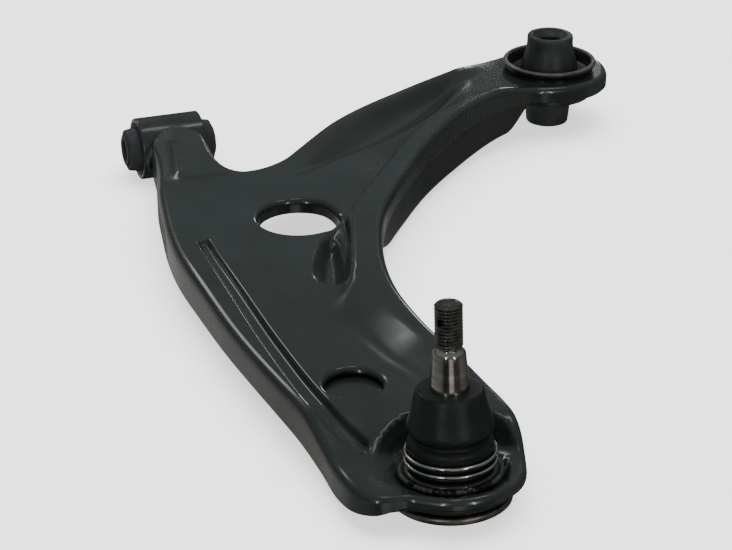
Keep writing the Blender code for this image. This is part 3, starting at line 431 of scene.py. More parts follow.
def shell(name, rows, holes, height, spacing, mat, stands_for, up, guides=()):
    """Stamped sheet: skirt rows, rolled edge, filled face and turned hole rims, then thickness."""
    edge = rows[-1][:, :2]
    rims = [h[0][:, :2] for h in holes]
    lo, hi = edge.min(0), edge.max(0)
    grid = np.array([(u + (0.5 * spacing if j % 2 else 0.0), v)
                     for j, v in enumerate(np.arange(lo[1], hi[1], spacing * 0.87))
                     for u in np.arange(lo[0], hi[0], spacing)])
    keep = inside(grid[:, 0], grid[:, 1], edge)
    for r in [edge] + rims:
        d, _ = line_distance(grid[:, 0], grid[:, 1], looped(r))
        keep &= d > spacing * 0.55
    for r in rims:
        keep &= ~inside(grid[:, 0], grid[:, 1], r)
    flat, edges, base = [], [], 0
    for r in [edge] + rims:
        flat += [Vector(v) for v in r]
        edges += [(base + i, base + (i + 1) % len(r)) for i in range(len(r))]
        base += len(r)
    for g in guides:
        d, _ = line_distance(grid[:, 0], grid[:, 1], g)
        keep &= d > 0.8
        flat += [Vector(v) for v in g]
        edges += [(base + i, base + i + 1) for i in range(len(g) - 1)]
        base += len(g)
    out, _, tris, back, _, _ = delaunay_2d_cdt(flat + [Vector(v) for v in grid[keep]], edges, [], 0, 1e-4)
    out = np.array([tuple(v) for v in out])
    where = {s: i for i, src in enumerate(back) for s in src if s < base}
    mid = np.array([out[list(f)].mean(0) for f in tris])
    ok = inside(mid[:, 0], mid[:, 1], edge)
    for r in rims:
        ok &= ~inside(mid[:, 0], mid[:, 1], r)
    faces = []
    for f, good in zip(tris, ok):
        if good:
            a, b, c = out[list(f)]
            turn = (b[0] - a[0]) * (c[1] - a[1]) - (b[1] - a[1]) * (c[0] - a[0])
            faces.append(tuple(f) if turn > 0 else tuple(reversed(f)))
    verts = np.column_stack([out, height(out[:, 0], out[:, 1])]).tolist()

    def skirt(first, ids, loops, flip):
        """Join further rows to a ring of the filled face."""
        for k, i in enumerate(ids):
            verts[i] = list(first[k])
        last, n = ids, len(ids)
        for row in loops:
            new = list(range(len(verts), len(verts) + n))
            verts.extend(row.tolist())
            for i in range(n):
                j = (i + 1) % n
                quad = (last[i], last[j], new[j], new[i])
                faces.append(quad[::-1] if flip else quad)
            last = new

    skirt(rows[-1], [where[i] for i in range(len(edge))], rows[-2::-1], True)
    base = len(edge)
    for h in holes:
        skirt(h[0], [where[base + i] for i in range(len(h[0]))], h[1:], False)
        base += len(h[0])
    if not up:
        faces = [f[::-1] for f in faces]
    me = bpy.data.meshes.new(name)
    me.from_pydata([Vector(v) * MM for v in verts], [], faces)
    raw = bpy.data.objects.new(name + "_raw", me)
    bpy.context.scene.collection.objects.link(raw)
    so = raw.modifiers.new("sheet", "SOLIDIFY")
    so.thickness, so.offset, so.use_even_offset = SHEET * MM, -1.0, True
    so.thickness_clamp = 1.6
    bpy.context.view_layer.update()
    thick = bpy.data.meshes.new_from_object(raw.evaluated_get(bpy.context.evaluated_depsgraph_get()))
    bpy.data.objects.remove(raw)
    add(name, thick, mat, "arm", stands_for, 50)
    # shade the pressed face by its exact slope, so that its highlights run clean
    co = np.zeros(len(thick.vertices) * 3)
    thick.vertices.foreach_get("co", co)
    co = co.reshape(-1, 3) / MM
    x, y = co[:, 0], co[:, 1]
    exact = np.abs(height(x, y) - co[:, 2]) < 0.01
    step = 0.35
    slope = np.column_stack([(height(x - step, y) - height(x + step, y)) / (2 * step),
                             (height(x, y - step) - height(x, y + step)) / (2 * step), np.ones(len(x))])
    slope /= np.linalg.norm(slope, axis=1)[:, None] * (1 if up else -1)
    loops = np.zeros(len(thick.loops), int)
    thick.loops.foreach_get("vertex_index", loops)
    faces_n = np.zeros(len(thick.loops) * 3)
    thick.corner_normals.foreach_get("vector", faces_n)
    faces_n = faces_n.reshape(-1, 3)
    use = exact[loops] & ((faces_n * slope[loops]).sum(1) > 0.6)
    faces_n[use] = slope[loops][use]
    thick.normals_split_custom_set(faces_n.tolist())
    thick.transform(SHIFT)


def hole_rows(cx, cy, r, count, roll, depth, height, steps=6):
    """Rows of a hole's rim that rolls in and then goes straight down to the depth."""
    big = circle(cx, cy, r + roll, count)
    top = height(big[:, 0], big[:, 1])
    out = [with_z(big, top)]
    for turn in np.linspace(0.0, 90.0, steps)[1:]:
        c, s = cos_sin(turn)
        out.append(with_z(circle(cx, cy, r + roll * (1.0 - s), count), top - roll * (1.0 - c)))
    if depth > roll:
        out.append(with_z(circle(cx, cy, r, count), top - depth))
    return out


def leaned_hole(r, height, count):
    """Hole ring square to the leaning ball joint axis."""
    ring = circle(0.0, 0.0, r, count)
    c, s = math.cos(LEAN), math.sin(LEAN)
    return [np.column_stack([JOINT[0] + ring[:, 0], JOINT[1] + ring[:, 1] * c + height * s,
                             JOINT_Z - ring[:, 1] * s + height * c])]


# ---- materials -----------------------------------------------------------------------------
def set_stops(ramp, stops):
    """Give a colour ramp node its stops: (position, grey or colour)."""
    els = ramp.color_ramp.elements
    while len(els) < len(stops):
        els.new(0.5)
    for e, (pos, col) in zip(els, stops):
        e.position = pos
        e.color = (*col, 1.0) if isinstance(col, tuple) else (col, col, col, 1.0)


class Mat:
    """Small builder for procedural materials on object coordinates."""

    def __init__(self, name, base, rough, metal=0.0, **fixed):
        self.m = bpy.data.materials.new(name)
        self.m.use_nodes = True
        self.t = self.m.node_tree
        self.b = self.t.nodes["Principled BSDF"]
        self.b.inputs["Base Color"].default_value = (*base, 1.0)
        self.b.inputs["Roughness"].default_value = rough
        self.b.inputs["Metallic"].default_value = metal
        for k, v in fixed.items():
            self.b.inputs[k.replace("_", " ")].default_value = v
        self.co = self.t.nodes.new("ShaderNodeTexCoord").outputs["Object"]
        self.height = None

    def noise(self, scale, detail=3.0, rough=0.55, stretch=None):
        co = self.co
        if stretch:
            mp = self.t.nodes.new("ShaderNodeMapping")
            mp.inputs["Scale"].default_value = stretch
            self.t.links.new(co, mp.inputs["Vector"])
            co = mp.outputs["Vector"]
        n = self.t.nodes.new("ShaderNodeTexNoise")
        n.inputs["Scale"].default_value = scale
        n.inputs["Detail"].default_value = detail
        n.inputs["Roughness"].default_value = rough
        self.t.links.new(co, n.inputs["Vector"])
        return n.outputs["Fac"]

    def ramp(self, src, stops):
        r = self.t.nodes.new("ShaderNodeValToRGB")
        set_stops(r, stops)
        self.t.links.new(src, r.inputs["Fac"])
        return r.outputs["Color"]

    def color(self, src):
        self.t.links.new(src, self.b.inputs["Base Color"])

    def rough(self, src, lo, hi):
        self.t.links.new(self.ramp(src, [(0.25, lo), (0.75, hi)]), self.b.inputs["Roughness"])

    def bump(self, src, distance, strength=1.0):
        n = self.t.nodes.new("ShaderNodeBump")
        n.inputs["Distance"].default_value = distance * MM
        n.inputs["Strength"].default_value = strength
        self.t.links.new(src, n.inputs["Height"])
        if self.height:
            self.t.links.new(self.height, n.inputs["Normal"])
        self.height = n.outputs["Normal"]
        self.t.links.new(self.height, self.b.inputs["Normal"])


def paint(name, dark, light, rough):
    """Glossy enamel whose tone and gloss drift a little over the sheet."""
    m = Mat(name, dark, rough, Coat_Weight=0.6, Coat_Roughness=0.07)
    patches = m.noise(28.0, 4.0, 0.6)
    m.color(m.ramp(patches, [(0.3, dark), (0.7, light)]))
    m.rough(m.noise(30.0, 3.0), rough - 0.03, rough + 0.05)
    m.bump(m.noise(40.0, 1.0), 0.04, 0.06)
    return m.m


PAINT = paint("black_enamel", (0.0055, 0.0075, 0.0068), (0.0095, 0.0125, 0.0115), 0.24)
PAINT_EYE = paint("black_enamel_eye", (0.006, 0.008, 0.0075), (0.0105, 0.013, 0.0125), 0.3)
PAINT_INSIDE = paint("black_enamel_inner", (0.0045, 0.006, 0.0055), (0.008, 0.0095, 0.009), 0.34)

# Stud steel: the lengthwise light and dark streaks in its colour are painted reflection streaks, standing in
# for the surroundings mirrored in the turned cone.
m = Mat("steel_painted_streaks", (0.45, 0.43, 0.39), 0.24, 1.0)
m.color(m.ramp(m.noise(60.0, 4.0, 0.6, (1, 1, 6)), [(0.3, (0.30, 0.28, 0.25)), (0.7, (0.55, 0.53, 0.49))]))
m.rough(m.noise(240.0, 3.0, 0.6, (1, 1, 8)), 0.10, 0.22)
m.bump(m.noise(160.0, 2.0, 0.5, (0.5, 0.5, 14)), 0.006, 0.3)
STEEL = m.m

m = Mat("thread_steel", (0.32, 0.31, 0.29), 0.3, 1.0)
m.color(m.ramp(m.noise(300.0, 4.0, 0.65), [(0.3, (0.09, 0.088, 0.08)), (0.7, (0.24, 0.235, 0.215))]))
m.rough(m.noise(500.0, 3.0), 0.22, 0.42)
THREAD = m.m

m = Mat("bare_rim_steel", (0.3, 0.27, 0.24), 0.4, 1.0)
m.color(m.ramp(m.noise(120.0, 5.0, 0.65), [(0.28, (0.10, 0.085, 0.07)), (0.5, (0.25, 0.22, 0.19)),
                                          (0.75, (0.42, 0.38, 0.34))]))
m.rough(m.noise(200.0, 4.0), 0.3, 0.55)
m.bump(m.noise(500.0, 3.0), 0.04, 0.4)
BARE = m.m

m = Mat("can_lip_steel", (0.12, 0.105, 0.09), 0.42, 0.75)
m.color(m.ramp(m.noise(90.0, 5.0, 0.65), [(0.3, (0.075, 0.068, 0.06)), (0.7, (0.17, 0.15, 0.13))]))
m.rough(m.noise(300.0, 4.0), 0.32, 0.55)
m.bump(m.noise(700.0, 2.0), 0.03, 0.4)
CAN = m.m

m = Mat("spring_wire_steel", (0.62, 0.6, 0.56), 0.2, 1.0)
m.color(m.ramp(m.noise(150.0, 3.0), [(0.3, (0.45, 0.43, 0.4)), (0.7, (0.72, 0.7, 0.66))]))
m.rough(m.noise(400.0, 3.0), 0.14, 0.3)
WIRE = m.m


def rubber(name, dark, light, rough, grain):
    """Moulded rubber with a fine grain."""
    m = Mat(name, dark, rough)
    m.color(m.ramp(m.noise(110.0, 5.0, 0.65), [(0.3, dark), (0.72, light)]))
    m.rough(m.noise(160.0, 4.0), rough - 0.07, rough + 0.1)
    m.bump(m.noise(grain, 3.0, 0.6), 0.05, 0.5)
    return m.m


RUBBER = rubber("moulded_rubber", (0.010, 0.011, 0.0115), (0.018, 0.02, 0.0205), 0.46, 1500.0)
BOOT = rubber("boot_rubber", (0.0032, 0.0042, 0.0037), (0.006, 0.0075, 0.0066), 0.40, 2200.0)
BOOT.node_tree.nodes["Principled BSDF"].inputs["Specular IOR Level"].default_value = 0.3

m = Mat("weld_black", (0.016, 0.017, 0.016), 0.3)
m.color(m.ramp(m.noise(220.0, 5.0, 0.7), [(0.35, (0.012, 0.013, 0.012)), (0.8, (0.035, 0.034, 0.03))]))
m.rough(m.noise(350.0, 4.0), 0.2, 0.42)
m.bump(m.noise(900.0, 4.0, 0.65), 0.12, 0.5)
WELD = m.m

# Weld lumps: mostly near black, with bright brass-coloured flecks painted into the colour as glints, standing
# in for the clip wires mirrored in the glossy sheet.
m = Mat("weld_lumps_painted_glints", (0.2, 0.15, 0.08), 0.38, 0.85)
m.color(m.ramp(m.noise(260.0, 5.0, 0.7), [(0.45, (0.010, 0.010, 0.009)), (0.58, (0.05, 0.042, 0.03)),
                                         (0.7, (0.30, 0.25, 0.16))]))
m.rough(m.noise(400.0, 4.0), 0.25, 0.5)
m.bump(m.noise(900.0, 4.0, 0.65), 0.15, 0.6)
WELD_LUMPS_PAINTED_GLINTS = m.m

m = Mat("dark_steel", (0.05, 0.05, 0.048), 0.45, 0.7)
m.color(m.ramp(m.noise(140.0, 4.0), [(0.3, (0.03, 0.031, 0.03)), (0.7, (0.075, 0.074, 0.07))]))
m.rough(m.noise(300.0, 3.0), 0.38, 0.55)
DARK_STEEL = m.m

m = Mat("sleeve_steel", (0.03, 0.032, 0.033), 0.5, 0.3)
m.color(m.ramp(m.noise(140.0, 4.0), [(0.3, (0.016, 0.018, 0.019)), (0.7, (0.034, 0.036, 0.037))]))
m.rough(m.noise(300.0, 3.0), 0.42, 0.6)
SLEEVE = m.m

m = Mat("seat_polymer", (0.6, 0.59, 0.55), 0.4)
m.color(m.ramp(m.noise(90.0, 3.0), [(0.3, (0.5, 0.49, 0.45)), (0.7, (0.66, 0.65, 0.61))]))
m.rough(m.noise(300.0, 3.0), 0.34, 0.5)
POLYMER = m.m


# ---- upper and lower stampings -------------------------------------------------------------
def beside(line, dist):
    """The polyline moved sideways."""
    t = np.gradient(line, axis=0)
    t /= np.linalg.norm(t, axis=1)[:, None]
    return line + np.stack([-t[:, 1], t[:, 0]], 1) * dist


def ring_of(points):
    """Outline ring, its inward vectors, edge radii, and the heights of face edge and skirt."""
    ring = curve(points, 3.2, True)
    bend = np.maximum(ring[:, 3], 0.9)
    edge = ring[:, :2] + inward(ring) * bend[:, None]
    top = top_height(edge[:, 0], edge[:, 1])
    return ring, inward(ring), bend, top, np.minimum(ring[:, 2], top - bend - 1.2)


def offset(dist):
    """The current outline moved inward."""
    d = np.asarray(dist).reshape(-1, 1) if np.ndim(dist) else dist
    return outer[:, :2] + normal * d


outer, normal, radius, z_edge, skirt_z = ring_of(OUTLINE)
groove_line = curve(GROOVE, 1.7)
_, along_groove = line_distance(groove_line[:, 0], groove_line[:, 1], GROOVE)
groove_steps = [(groove_width(along_groove) + k)[:, None] for k in (-2.6, -1.95, -1.3, -0.65, 0.0, 0.8)]
rows = [with_z(offset(0.0), skirt_z + (z_edge - radius - skirt_z) * t) for t in (0.0, 0.35, 0.7)]
for turn in np.linspace(0.0, 90.0, 8):
    c, s = cos_sin(turn)
    rows.append(with_z(offset(radius * (1.0 - c)), z_edge - radius * (1.0 - s)))
# guides: mesh edges that follow the form's lines, so that its highlights run clean
guides = [beside(groove_line, k * side) for side in (-1.0, 1.0) for k in groove_steps] + [groove_line]
guides += [beside(RAIL_EDGE, k) for k in (-4.0, -2.0, 0.0, 2.0, 4.0)] + [LEAF]
guides += [looped(POCKET), looped(POCKET + inward(POCKET) * 1.2)]
shell("upper_stamping", rows, [
    hole_rows(*SMALL_HOLE, 56, 2.9, 2.9, top_height),
    hole_rows(*LARGE_HOLE, 80, 3.0, 8.0, top_height),
    leaned_hole(JOINT_HOLE, JOINT_FLOOR, 72),
    hole_rows(*REAR, CAN_HOLE, 90, 0.0, 0.0, top_height, 1),
], top_height, 2.3, PAINT, ["upper_shell"], True, guides)

# the tray nests inside the skirt; its wall ends below the rolled edge of the upper stamping
outer, normal, radius, z_edge, skirt_z = ring_of(OUTLINE[:-NECK_POINTS] + TRAY_END)
inset, edge_r = SHEET + 0.35, 3.6
floor_edge = offset(inset + edge_r)
floor_z = bottom_height(floor_edge[:, 0], floor_edge[:, 1])
wall_top = z_edge - np.maximum(radius, 2.6) - 0.45
for more in (SHEET, SHEET + 1.5):
    under = offset(inset + more)
    wall_top = np.minimum(wall_top, top_height(under[:, 0], under[:, 1]) - SHEET - 0.8)
wall_top = np.minimum(skirt_z + 4.0, wall_top)
room = np.clip(wall_top - floor_z - 0.6, 0.8, edge_r)
wall_top = np.maximum(wall_top, floor_z + room + 0.5)
rows = [with_z(offset(inset), wall_top * (1 - t) + (floor_z + room) * t) for t in (0.0, 0.35, 0.7)]
for turn in np.linspace(0.0, 90.0, 7):
    c, s = cos_sin(turn)
    rows.append(with_z(offset(inset + edge_r * (1.0 - c)), floor_z + room * (1.0 - s)))


def low_hole(cx, cy, r, count):
    """Plain hole in the tray."""
    ring = circle(cx, cy, r, count)
    return [with_z(ring, bottom_height(ring[:, 0], ring[:, 1]))]


shell("lower_stamping", rows, [
    low_hole(*LARGE_HOLE[:2], 25.6, 72),
    leaned_hole(JOINT_HOLE, TRAY_FLOOR, 72),
    low_hole(*REAR, CAN_HOLE, 80),
], bottom_height, 3.6, PAINT_INSIDE, ["lower_shell"], False)

# ---- front bush ----------------------------------------------------------------------------
half, end = EYE_HALF, EYE_HALF + BOSS_OUT
eye = rounded([(EYE_R, half), (EYE_R, -half), (EYE_BORE, -half), (EYE_BORE, half)], 0.9)
add("front_eye_tube", turned(eye, 120, AT_FRONT), PAINT_EYE, "arm", ["front_eye"])
boss = rounded([(9.9, end), (11.6, end - 0.4), (12.0, end - 2.6), (12.4, half + 1.4), (12.6, half + 0.6),
                (12.6, -half - 0.6), (12.4, -half - 1.4), (12.0, 2.6 - end), (11.6, 0.4 - end),
                (9.9, -end), (9.0, -end), (9.0, end)], 0.5)
add("front_bush_boss", turned(boss, 96, AT_FRONT), RUBBER, "arm", ["front_bush_rubber"])
sleeve = rounded([(SLEEVE_R, SLEEVE_HALF), (SLEEVE_R, -SLEEVE_HALF), (SLEEVE_BORE, -SLEEVE_HALF),
                  (SLEEVE_BORE, SLEEVE_HALF)], 0.5)
add("front_sleeve_tube", turned(sleeve, 80, AT_FRONT), DARK_STEEL, "front_sleeve", ["front_inner_sleeve"])

# ---- rear bush -----------------------------------------------------------------------------
can = rounded([(26.6, 40.0), (27.8, 39.4), (28.0, 38.2), (27.2, 36.4), (25.7, 35.4), (25.7, 18.6),
               (25.1, 18.0), (24.2, 18.0), (24.2, 35.4), (25.2, 39.6)], 0.6)
can_piece = add("rear_can_turned", turned(can, 120, AT_REAR), PAINT_INSIDE, "arm", ["rear_can"])
can_piece.data.materials.append(CAN)
for p in can_piece.data.polygons:       # the lip's top is bare
    if p.normal.z > 0.25 and p.center.z > 38.0 * MM:
        p.material_index = 1
ring = rounded([(23.9, 33.0), (23.9, 21.5), (21.0, 22.5), (18.4, 21.5), (18.1, 23.0), (18.2, 31.6),
                (19.6, 32.2), (21.6, 31.6)], 0.7)
add("rear_rubber_ring", turned(ring, 96, AT_REAR), RUBBER, "arm", ["rear_rubber"])
core = [(10.4, 55.0), (12.7, 55.0), (13.3, 54.8), (13.65, 54.3), (13.8, 53.4), (13.8, 50.5), (13.95, 48.4),
        (14.3, 46.2), (14.9, 43.8), (15.5, 41.6), (16.2, 39.4), (16.8, 37.2), (17.15, 35.4), (17.25, 33.5),
        (17.25, 22.5), (17.0, 20.6), (16.3, 18.2), (15.4, 16.0), (14.5, 14.0), (13.9, 12.0), (13.5, 9.5),
        (13.3, 7.0), (13.0, 3.5), (12.7, 1.0), (12.3, 0.25), (11.7, 0.0), (7.4, 0.0), (7.1, 0.4), (7.1, 51.0),
        (8.2, 52.3), (9.4, 53.4), (10.1, 54.4)]
core_piece = add("rear_core_moulding", turned(core, 96, AT_REAR), RUBBER, "rear_centre", ["rear_core"])
core_piece.data.materials.append(SLEEVE)
for p in core_piece.data.polygons:      # the metal sleeve inside the moulding
    c = p.center - Vector(((REAR[0] + SX) * MM, (REAR[1] + SY) * MM, 0.0))
    if math.hypot(c.x, c.y) < 10.3 * MM:
        p.material_index = 1

# ---- ball joint ----------------------------------------------------------------------------
plate = rounded([(PLATE_R - 0.8, 3.7), (PLATE_R, 2.9), (PLATE_R, 1.2), (PLATE_R - 1.4, 0.0), (0.6, 0.0),
                 (0.6, 3.7)], 0.5)
plate = [(0.0, 3.7)] + plate[:16] + [(0.0, 0.0)]       # only the outer four corners stay rounded
add("closing_plate", turned(plate, 128, AT_JOINT), BARE, "arm", ["base_cap"])
house = rounded([(16.6, 25.6), (17.2, 25.0), (17.2, 15.9), (19.2, 15.5), (20.1, 14.8), (20.1, 4.0),
                 (15.5, 4.0), (15.5, 23.6), (12.8, 23.6), (13.4, 25.6)], 0.5)
add("housing_body", turned(house, 96, AT_JOINT), PAINT_INSIDE, "arm", ["ball_housing"])


def thread(a, z, r):
    """Helical thread form on the outside of the threaded length."""
    if not T_LO - 0.05 <= z <= T_HI + 0.05 or r < T_R - 0.01:
        return 0.0
    ph = (z / PITCH - a / (2 * math.pi)) % 1.0
    form = min(1.0, max(0.0, abs(ph - 0.5) * 2.6 - 0.15))
    fade = smooth(T_LO, T_LO + 0.9, z) * smooth(T_HI, T_HI - 0.7, z)
    return -0.86 * (1.0 - form) * float(fade)


stud = [(0.0, 88.4), (3.6, 88.4), (4.2, 88.8), (4.9, 88.8), (5.3, 88.4)]
stud += [(T_R, float(z)) for z in np.arange(T_HI, T_LO, -0.15)]
stud += [(5.75, 70.2), (5.35, 69.7), (5.3, 69.3), (5.45, 68.8), (6.0, 68.35), (6.5, 67.9), (6.9, 67.3),
         (7.05, 66.6)]
stud += [(7.05 + (8.75 - 7.05) * t, 66.6 + (48.0 - 66.6) * t) for t in np.linspace(0.08, 1.0, 14)]
stud += [(8.7, 46.5), (6.6, 35.0), (STUD_NECK, 30.0), (STUD_NECK, 25.0)]
neck_angle = math.degrees(math.acos(STUD_NECK / BALL_R))
for angle in np.linspace(neck_angle, -BALL_FLAT, 24):
    c, s = cos_sin(angle)
    stud.append((BALL_R * c, BALL_Z + BALL_R * s))
stud.append((0.0, BALL_Z - BALL_R * math.sin(math.radians(BALL_FLAT))))
stud_mesh = turned(stud, 72, None, thread)
# cotter hole across the thread
hole_bm, hole_r = bmesh.new(), 1.6 * MM
bmesh.ops.create_cone(hole_bm, cap_ends=True, segments=28, radius1=hole_r, radius2=hole_r, depth=20 * MM)
hole_mesh = from_bm("cotter", hole_bm, Matrix.Translation((0, 0, 81.5 * MM))
                    @ Matrix.Rotation(math.radians(-154.5), 4, "Z")
                    @ Matrix.Rotation(math.radians(90), 4, "Y"))
stud_ob = bpy.data.objects.new("stud_raw", stud_mesh)
hole_ob = bpy.data.objects.new("cotter_raw", hole_mesh)
for o in (stud_ob, hole_ob):
    bpy.context.scene.collection.objects.link(o)
cut = stud_ob.modifiers.new("cotter", "BOOLEAN")
cut.operation, cut.solver, cut.object = "DIFFERENCE", "EXACT", hole_ob
bpy.context.view_layer.update()
stud_mesh = bpy.data.meshes.new_from_object(stud_ob.evaluated_get(bpy.context.evaluated_depsgraph_get()))
for o in (stud_ob, hole_ob):
    bpy.data.objects.remove(o)
stud_mesh.transform(AT_JOINT)
add("stud_turned", stud_mesh, STEEL, "stud", ["ball_stud"], 32)
stud_mesh.materials.append(THREAD)
inv = AT_JOINT.inverted()
for p in stud_mesh.polygons:
    if (inv @ p.center).z > 70.3 * MM:
        p.material_index = 1

boot = [(8.6, 50.9), (12.6, 50.9), (13.4, 50.85), (13.9, 50.6), (14.3, 50.1), (14.6, 49.3), (14.9, 48.1),
        (15.3, 46.3), (15.8, 44.2), (16.5, 41.5), (17.2, 38.9), (17.8, 36.9), (18.2, 35.5), (18.4, 34.6),
        (18.35, 33.8), (18.0, 33.0), (17.3, 32.1), (16.5, 31.3), (15.95, 30.6), (15.75, 29.9), (15.95, 29.3),
        (16.6, 28.8), (17.5, 28.2), (18.1, 27.6), (18.4, 26.9), (18.4, 26.0), (18.25, 25.2), (18.1, 24.4),
        (18.1, 23.7), (17.9, 22.9), (18.1, 22.1), (18.2, 21.1), (18.1, 20.0), (17.9, 19.2), (18.1, 18.4),
        (18.3, 17.8), (18.6, 17.3), (18.5, 16.6), (18.2, 16.2), (17.5, 16.2), (17.5, 25.9), (16.0, 27.8),
        (14.2, 29.8), (14.6, 31.7), (16.4, 33.8), (16.4, 35.1), (15.7, 37.8), (13.9, 44.4), (12.8, 48.6),
        (9.1, 48.8), (8.62, 49.6)]
boot_piece = add("boot_moulding", turned(boot, 96, AT_JOINT), BOOT, None, ["dust_boot"], 60)
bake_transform(boot_piece)
add("clip_upper_wire", tube(ring_points(19.1, 22.9, 120, AT_JOINT), 0.8, True), WIRE, "arm",
    ["boot_clip_upper"], 60)
add("clip_lower_wire", tube(ring_points(19.2, 19.2, 120, AT_JOINT), 0.8, True), WIRE, "arm",
    ["boot_clip_lower"], 60)

# ---- welds ---------------------------------------------------------------------------------
add("housing_weld_bead", tube(ring_points(21.3, 13.3, 300, AT_JOINT), 1.25, True, 12, 0.16, 2.3, 3),
    WELD, "arm", ["housing_weld"], 60)
# ragged lumps at the housing's base; their bright flecks are a painted reflection of the clip wires
for k, (a, b, high) in enumerate(((-166, -154, 14.0), (-133, -104, 13.6), (-96, -60, 13.8))):
    n = int((b - a) * 0.9)
    lump = tube(ring_points(21.4, high, n, AT_JOINT, a, b), 1.35, False, 10, 0.3, 1.7, 11 + k)
    add("housing_weld_lumps_painted_glints_%d" % k, lump, WELD_LUMPS_PAINTED_GLINTS, "arm", None, 60)
add("rear_can_weld_bead", tube(ring_points(27.2, 25.35, 220, AT_REAR), 1.4, True, 12, 0.14, 3.0, 5),
    WELD, "arm", ["rear_can_weld"], 60)


def on_eye(reach, places):
    """Path over the eye tube through places given as x and the angle above the neck, in degrees."""
    return in_frame(curve([(x, -reach * cos_sin(a)[0], FRONT[2] + reach * cos_sin(a)[1])
                           for x, a in places], 0.7))


spill = on_eye(17.3, ((-21.0, 27.0), (-15.0, 42.0), (-8.5, 49.0), (-3.0, 44.0), (0.5, 36.0)))
add("eye_weld_spill", tube(spill, 1.7, False, 12, 0.3, 4.6, 21), WELD, "arm", None, 60)
bead = on_eye(17.9, ((-24.4, -22.0), (-24.8, -8.0), (-23.4, 8.0), (-19.6, 24.0), (-14.6, 38.0), (-8.4, 44.0),
                     (-2.4, 38.0), (2.6, 24.0), (6.0, 8.0), (7.0, -8.0), (6.6, -22.0)))
add("eye_weld_bead", tube(bead, 2.1, False, 12, 0.2, 3.2, 7), WELD, "arm", ["eye_weld"], 60)
seam = [i for i in range(len(outer))
        if 60.0 < outer[i, 0] < 150.0 and outer[i, 1] < -50 - 0.6 * (150 - outer[i, 0])]
line = offset(inset - 0.9)
path = in_frame(curve([(line[i, 0], line[i, 1], skirt_z[i] - 1.0) for i in seam], 0.8))
add("flank_seam_bead", tube(path, 1.3, False, 10, 0.2, 3.0, 9), WELD, "arm", ["flank_seam_weld"], 60)

# ---- CAD nodes that stay -------------------------------------------------------------------
for node, mat in (("front_bush_can", DARK_STEEL), ("seat_upper", POLYMER), ("seat_lower", POLYMER),
                  ("boot_spring_ring", WIRE)):
    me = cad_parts[node].data
    me.materials.clear()
    me.materials.append(mat)

# ---- studio --------------------------------------------------------------------------------
bpy.ops.mesh.primitive_plane_add(size=14.0, location=(0, 0, -0.0006))
floor = bpy.context.object
floor.name = "studio_floor"
m = Mat("studio_white", (0.9, 0.9, 0.9), 0.9)
m.color(m.ramp(m.noise(2.0), [(0.3, (0.88, 0.88, 0.88)), (0.7, (0.9, 0.9, 0.9))]))
m.b.inputs["Specular IOR Level"].default_value = 0.0
m.b.inputs["Emission Color"].default_value = (1.0, 1.0, 1.0, 1.0)
m.b.inputs["Emission Strength"].default_value = 1.2
floor.data.materials.append(m.m)
m.m.cycles.emission_sampling = "NONE"
floor.visible_glossy = False

# surroundings: a dim dome by height, and light and dark cards round the horizon in its lower band
world = bpy.data.worlds.new("studio")
bpy.context.scene.world = world
world.use_nodes = True
tree = world.node_tree


def world_node(kind, *sources, **settings):
    """New world node with its settings and its first inputs joined to the sources."""
    n = tree.nodes.new(kind)
    for key, value in settings.items():
        setattr(n, key, value)
    for sock, source in zip(n.inputs, sources):
        tree.links.new(source, sock)
    return n


way = world_node("ShaderNodeSeparateXYZ", tree.nodes.new("ShaderNodeTexCoord").outputs["Generated"])
rise = world_node("ShaderNodeMapRange", way.outputs["Z"])
rise.inputs["From Min"].default_value = -1.0
dome = world_node("ShaderNodeValToRGB", rise.outputs[0])
set_stops(dome, [(pos, (v * 0.91, v * 1.04, v)) for pos, v in (
    (0.0, 0.02), (0.5, 0.03), (0.6, 0.10), (0.72, 0.20), (0.84, 0.24), (1.0, 0.26))])
back_y = world_node("ShaderNodeMath", way.outputs["Y"], operation="MULTIPLY")
back_y.inputs[1].default_value = -1.0
turn = world_node("ShaderNodeMath", way.outputs["X"], back_y.outputs[0], operation="ARCTAN2")
around = world_node("ShaderNodeMapRange", turn.outputs[0])
around.inputs["From Min"].default_value, around.inputs["From Max"].default_value = -math.pi, math.pi
cards = world_node("ShaderNodeValToRGB", around.outputs[0])
set_stops(cards, [
    (0.0, (0.34, 0.34, 0.33)), (0.09, (0.30, 0.30, 0.29)), (0.17, 0.22), (0.31, 0.17), (0.36, 0.02),
    (0.43, 0.03), (0.45, (0.62, 0.61, 0.58)), (0.50, (0.5, 0.49, 0.46)), (0.52, 0.04), (0.60, 0.06),
    (0.65, (0.17, 0.165, 0.15)), (0.75, (0.11, 0.11, 0.105)), (0.84, 0.04), (0.9, 0.2), (1.0, 0.10)])
band = world_node("ShaderNodeValToRGB", rise.outputs[0])
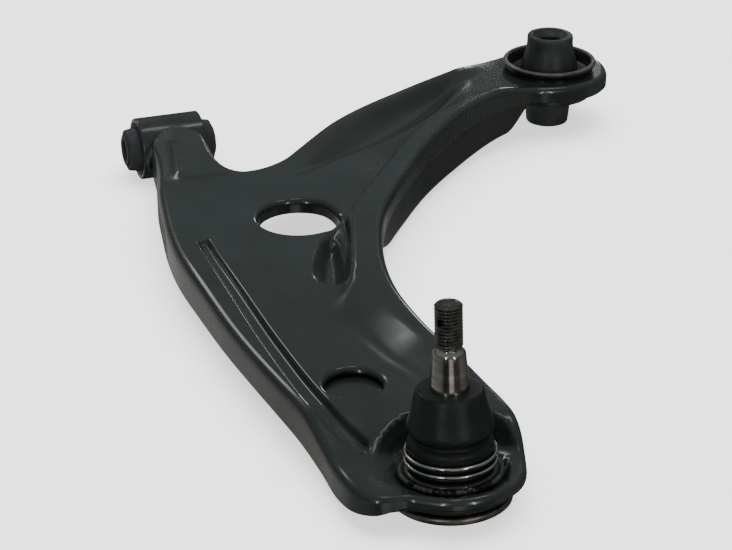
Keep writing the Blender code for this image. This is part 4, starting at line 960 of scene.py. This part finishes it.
set_stops(band, [(0.16, 0.0), (0.24, 1.0), (0.50, 1.0), (0.56, 0.0)])
both = world_node("ShaderNodeMix", data_type="RGBA")
for place, source in ((0, band), (6, dome), (7, cards)):
    tree.links.new(source.outputs["Color"], both.inputs[place])
tree.links.new(both.outputs[2], tree.nodes["Background"].inputs["Color"])
tree.nodes["Background"].inputs["Strength"].default_value = 1.0


def area(name, at, to, size, energy):
    """Rectangular lamp at a place in metres, turned toward another."""
    li = bpy.data.lights.new(name, "AREA")
    li.shape, li.size, li.size_y, li.energy = "RECTANGLE", *size, energy
    ob = bpy.data.objects.new(name, li)
    bpy.context.scene.collection.objects.link(ob)
    ob.location = at
    ob.rotation_euler = (Vector(to) - Vector(at)).to_track_quat("-Z", "Y").to_euler()
    return ob


key = area("key_top", (0.1, 0.1, 2.2), (0, 0, 0), (2.6, 2.6), 100)
key.visible_glossy = False
area("top_a", (0.62, 0.12, 1.9), (0.05, 0, 0), (0.34, 0.34), 1.2)
area("top_b", (0.10, 0.25, 1.9), (0, 0, 0), (0.30, 0.40), 1.0)
area("edge_left", (-0.50, 2.0, 1.45), (0, 0, 0), (0.8, 0.45), 3.5)
area("edge_right", (1.2, 2.1, 0.5), (0, 0, 0), (0.25, 0.35), 1.5)
area("strip_near_left", (-1.35, -1.5, 0.7), (-0.1, -0.2, 0.05), (0.12, 1.2), 5)
area("strip_near_right", (0.35, -1.9, 0.7), (-0.1, -0.2, 0.05), (0.10, 1.2), 5)

# ---- camera --------------------------------------------------------------------------------
cam = bpy.data.cameras.new("camera")
cam.lens, cam.sensor_width, cam.clip_start, cam.clip_end = 98.36, 36.0, 0.01, 30.0
cam_ob = bpy.data.objects.new("camera", cam)
bpy.context.scene.collection.objects.link(cam_ob)
cam_ob.location = ((-259.1 + SX) * MM, (-1035.25 + SY) * MM, 0.460)
cam_ob.rotation_euler = (math.radians(63.6), 0.0, math.radians(-19.7))
bpy.context.scene.camera = cam_ob

bpy.context.view_layer.update()
